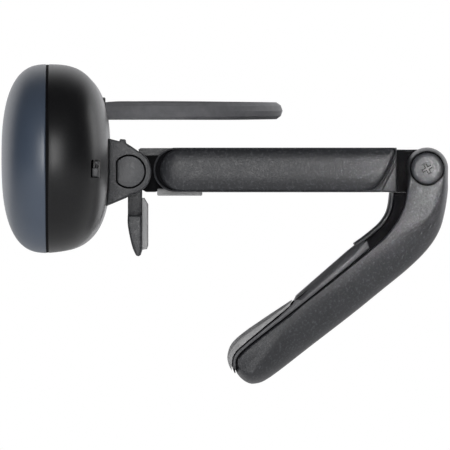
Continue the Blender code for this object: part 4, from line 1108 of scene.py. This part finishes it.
def makeLegLinings():
    # liner: a broad strip below the bend that narrows to a line between the shell and the pad
    near = offsetSeam(0.26)
    outline = stretch([(32.6, -7.75), (31.4, -7.95), (29.8, -9.0), (27.4, -11.05), (23.6, -14.35),
                       (20.4, -17.15)],
                      [0.1, 0.5, 1, 1, 1, 1])
    outline += inMetres([(20.05, -17.85, 0.1), (19.75, -18.6, 0.0)])
    far = offsetSeam(0.78)
    outline += stretch([(19.3, -19.25), far[1], far[0], (9.45, -29.6)], [0, 0, 0, 0])[1:]
    outline += stretch([(9.85, -30.45), (10.0, -29.6), near[0], near[1], near[2], near[3], (32.9, -9.0)],
                       [0] * 7)
    liner = softSlab(outline, 12 * mm, 8.5 * mm, 1.35 * mm, 0.16 * mm)
    addPiece("legLiner", liner, linerGrey, "leg", "clip_plastic", "leg_liner")
    inner = offsetSeam(0.98)
    outline = stretch([(19.65, -17.95), (15.4, -20.75), (11.3, -23.6), (9.3, -25.5), (8.6, -27.4),
                       (8.75, -28.8), (9.3, -30.0)],
                      [0.3, 0.9, 1, 0.9, 0.5, 0.3, 0.1])
    outline += stretch([(9.3, -29.6), inner[0], inner[1], (19.25, -18.9)], [0, 0, 0, 0])
    pad = softSlab(outline, 12 * mm, 8.5 * mm, 0.62 * mm, 0.1 * mm)
    addPiece("legPad", pad, paleGlowRubber, "leg", "rubber", "leg_pad")
    # painted shade: a black core under the two joints, seen through their dark lines
    above = offsetSeam(1.3)
    outline = inMetres(offsetSeam(-0.8)[:6]
                       + [(34.6, -6.0), (31.6, -9.0), above[3], (19.85, -18.1), above[2], above[1],
                                               above[0], (9.1, -28.4), (9.5, -29.7), (10.2, -29.9)])
    addPiece("legCore", prismShape(outline, -11.4 * mm, 11.4 * mm), shadeAndHolderBlack, "leg", "inner_black")


def makePivot():
    low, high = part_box("pivot_screw")
    y, z, outer = fold["y"], fold["z"], high.x
    inner = outer - 1.1 * mm
    profile = [(0, outer), (1.9 * mm, outer), (2.35 * mm, outer - 0.08 * mm), (2.6 * mm, outer - 0.25 * mm),
               (fold["screwRadius"], outer - 0.5 * mm), (fold["screwRadius"], inner), (1.4 * mm, inner),
               (1.4 * mm, low.x), (0, low.x)]
    screw = turnedShape(profile, (0, y, z), "X", 96)
    screw = combineShapes(screw, crossTool((outer, y, z), "X", 1.05 * mm, 0.58 * mm, 0.6 * mm, 28))
    addPiece("pivotScrew", screw, capGrey, "leg", "screw_dark", "pivot_screw")
    # the cross has a black floor as painted shade, with a paler ridge left standing in it as painted light
    floor = rodShape(1.15 * mm, (outer - 0.85 * mm, y, z), (outer - 0.5 * mm, y, z), 32)
    addPiece("crossFloor", floor, shadeAndHolderBlack, "leg", "inner_black")
    ridge = crossTool((outer - 0.42 * mm, y, z), "X", 0.82 * mm, 0.30 * mm, 0.2 * mm, 28)
    addPiece("screwCross", ridge, linerGrey, "leg", "screw_dark")
    low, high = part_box("pivot_nut")
    outer, inner = low.x, high.x
    profile = [(0, inner), (fold["screwRadius"], inner), (fold["screwRadius"], outer + 0.5 * mm),
               (2.6 * mm, outer + 0.25 * mm), (2.35 * mm, outer + 0.08 * mm), (1.9 * mm, outer), (0, outer)]
    nut = turnedShape(profile, (0, y, z), "X", 96)
    socket = rodShape(1.25 * mm, (outer - 1 * mm, y, z), (outer + 0.75 * mm, y, z), 6)
    addPiece("pivotNut", combineShapes(nut, socket), capGrey, "leg", "screw_dark", "pivot_nut")
    # painted shade: black discs on the floors of the pockets round the pivot's heads
    for side, sign in bothSides:
        start, end = sign * 10.72 * mm, sign * 10.95 * mm
        floor = rodShape(fold["screwRadius"] + 0.28 * mm, (start, y, z), (end, y, z), 72)
        addPiece("pivotPocket_" + side, floor, shadeAndHolderBlack, "leg", "inner_black")


makeLegShell()
makeLegRib()
makeLegLinings()
makePivot()
print("leg made")

# ---- finishes on the CAD's own pieces ----

carriedOver = {
    "main_board": boardGreen, "image_sensor": glossBlack, "lens_holder": shadeAndHolderBlack,
    "status_led": pipeClear, "microphone_left": steel, "microphone_right": steel,
    "bracket_screw_left": darkScrew, "bracket_screw_right": darkScrew, "tilt_pin": steel,
    "tilt_washer_left": steel, "tilt_washer_right": steel, "fold_washer_left": steel,
    "fold_washer_right": steel,
}


def refinish(nodeName, material):
    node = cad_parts[nodeName]
    if node.material_slots:
        for slot in node.material_slots:
            slot.material = material
    else:
        node.data.materials.append(material)


for nodeName, material in carriedOver.items():
    refinish(nodeName, material)
print("carried-over pieces refinished")

# ---- floor and light ----

studio = {"floorDrop": 34 * mm, "floorRadius": 0.42, "white": 1.0, "backGlow": 1.2, "sideGlow": 0.035,
          "frontGlow": 0.035}


def addFloor():
    shape = bmesh.new()
    bmesh.ops.create_circle(shape, cap_ends=True, segments=96, radius=studio["floorRadius"])
    bmesh.ops.translate(shape, vec=(0, 0, legLow.z - studio["floorDrop"]), verts=shape.verts)
    mesh = bpy.data.meshes.new("studioFloor")
    shape.to_mesh(mesh)
    shape.free()
    floor = bpy.data.objects.new("studioFloor", mesh)
    scene.collection.objects.link(floor)
    material, nodes, links, shader = newMaterial("palePaper", Roughness=0.9)
    fibre = patternNode(nodes, links, "ShaderNodeTexNoise", 60, Detail=5.0)
    stops = [(0.3, (0.80, 0.80, 0.80)), (0.7, (0.84, 0.84, 0.84))]
    links.new(colourRamp(nodes, links, fibre.outputs["Fac"], stops), shader.inputs["Base Color"])
    mesh.materials.append(material)


def addWorld():
    # white behind the object, darker beside it, as in a light tent with its front open
    world = bpy.data.worlds.new("lightTent")
    scene.world = world
    world.use_nodes = True
    nodes, links = world.node_tree.nodes, world.node_tree.links
    place = nodes.new("ShaderNodeTexCoord")
    split = nodes.new("ShaderNodeSeparateXYZ")
    links.new(place.outputs["Generated"], split.inputs["Vector"])
    share = spread(nodes, links, split.outputs["X"], 0, 1, -1, 1)
    back, beside, front = [(value, value, value * 1.02) for value in
                           (studio["backGlow"], studio["sideGlow"], studio["frontGlow"])]
    tent = colourRamp(nodes, links, share,
                      [(0.0, back), (0.12, back), (0.30, beside), (0.8, beside), (1.0, front)])
    background = nodes["Background"]
    links.new(tent, background.inputs["Color"])
    white = nodes.new("ShaderNodeBackground")
    white.inputs["Color"].default_value = (studio["white"],) * 3 + (1,)
    path = nodes.new("ShaderNodeLightPath")
    mix = nodes.new("ShaderNodeMixShader")
    links.new(path.outputs["Is Camera Ray"], mix.inputs["Fac"])
    links.new(background.outputs["Background"], mix.inputs[1])
    links.new(white.outputs["Background"], mix.inputs[2])
    links.new(mix.outputs["Shader"], nodes["World Output"].inputs["Surface"])


lamps = {  # place, aim, width, height, power and spread in degrees of each soft light
    "frontStrip": ((1.0, -0.01, 0.04), (0, 0.01, -0.005), 0.15, 0.80, 5.2, 170),
    "tableBounce": ((0.42, -0.02, -0.32), (0.01, 0.0, -0.005), 0.30, 0.25, 2.0, 170),
    "elbowGlow": ((0.42, 0.09, 0.02), (0.012, 0.060, -0.012), 0.04, 0.06, 0.009, 7),
    "sideSheet": ((-0.22, 0.50, 0.16), (0, 0, 0), 0.2, 0.3, 0.4, 170),
    "topSheet": ((-0.3, 0.0, 0.5), (0, 0, 0), 0.5, 0.5, 0.15, 170),
    "tableLight": ((0, 0, -0.040), (0, 0.0001, -1), 1.2, 1.2, 1.9, 170),
}


def addLamps():
    for name, (place, aim, width, height, power, fan) in lamps.items():
        light = bpy.data.lights.new(name, "AREA")
        light.shape, light.size, light.size_y, light.energy = "RECTANGLE", width, height, power
        light.spread = math.radians(fan)
        holder = bpy.data.objects.new(name, light)
        holder.location = place
        holder.rotation_euler = (Vector(aim) - Vector(place)).to_track_quat("-Z", "Y").to_euler()
        holder.visible_camera = False
        scene.collection.objects.link(holder)


addFloor()
addWorld()
addLamps()
scene.view_settings.view_transform = "Standard"
print("floor and light set")
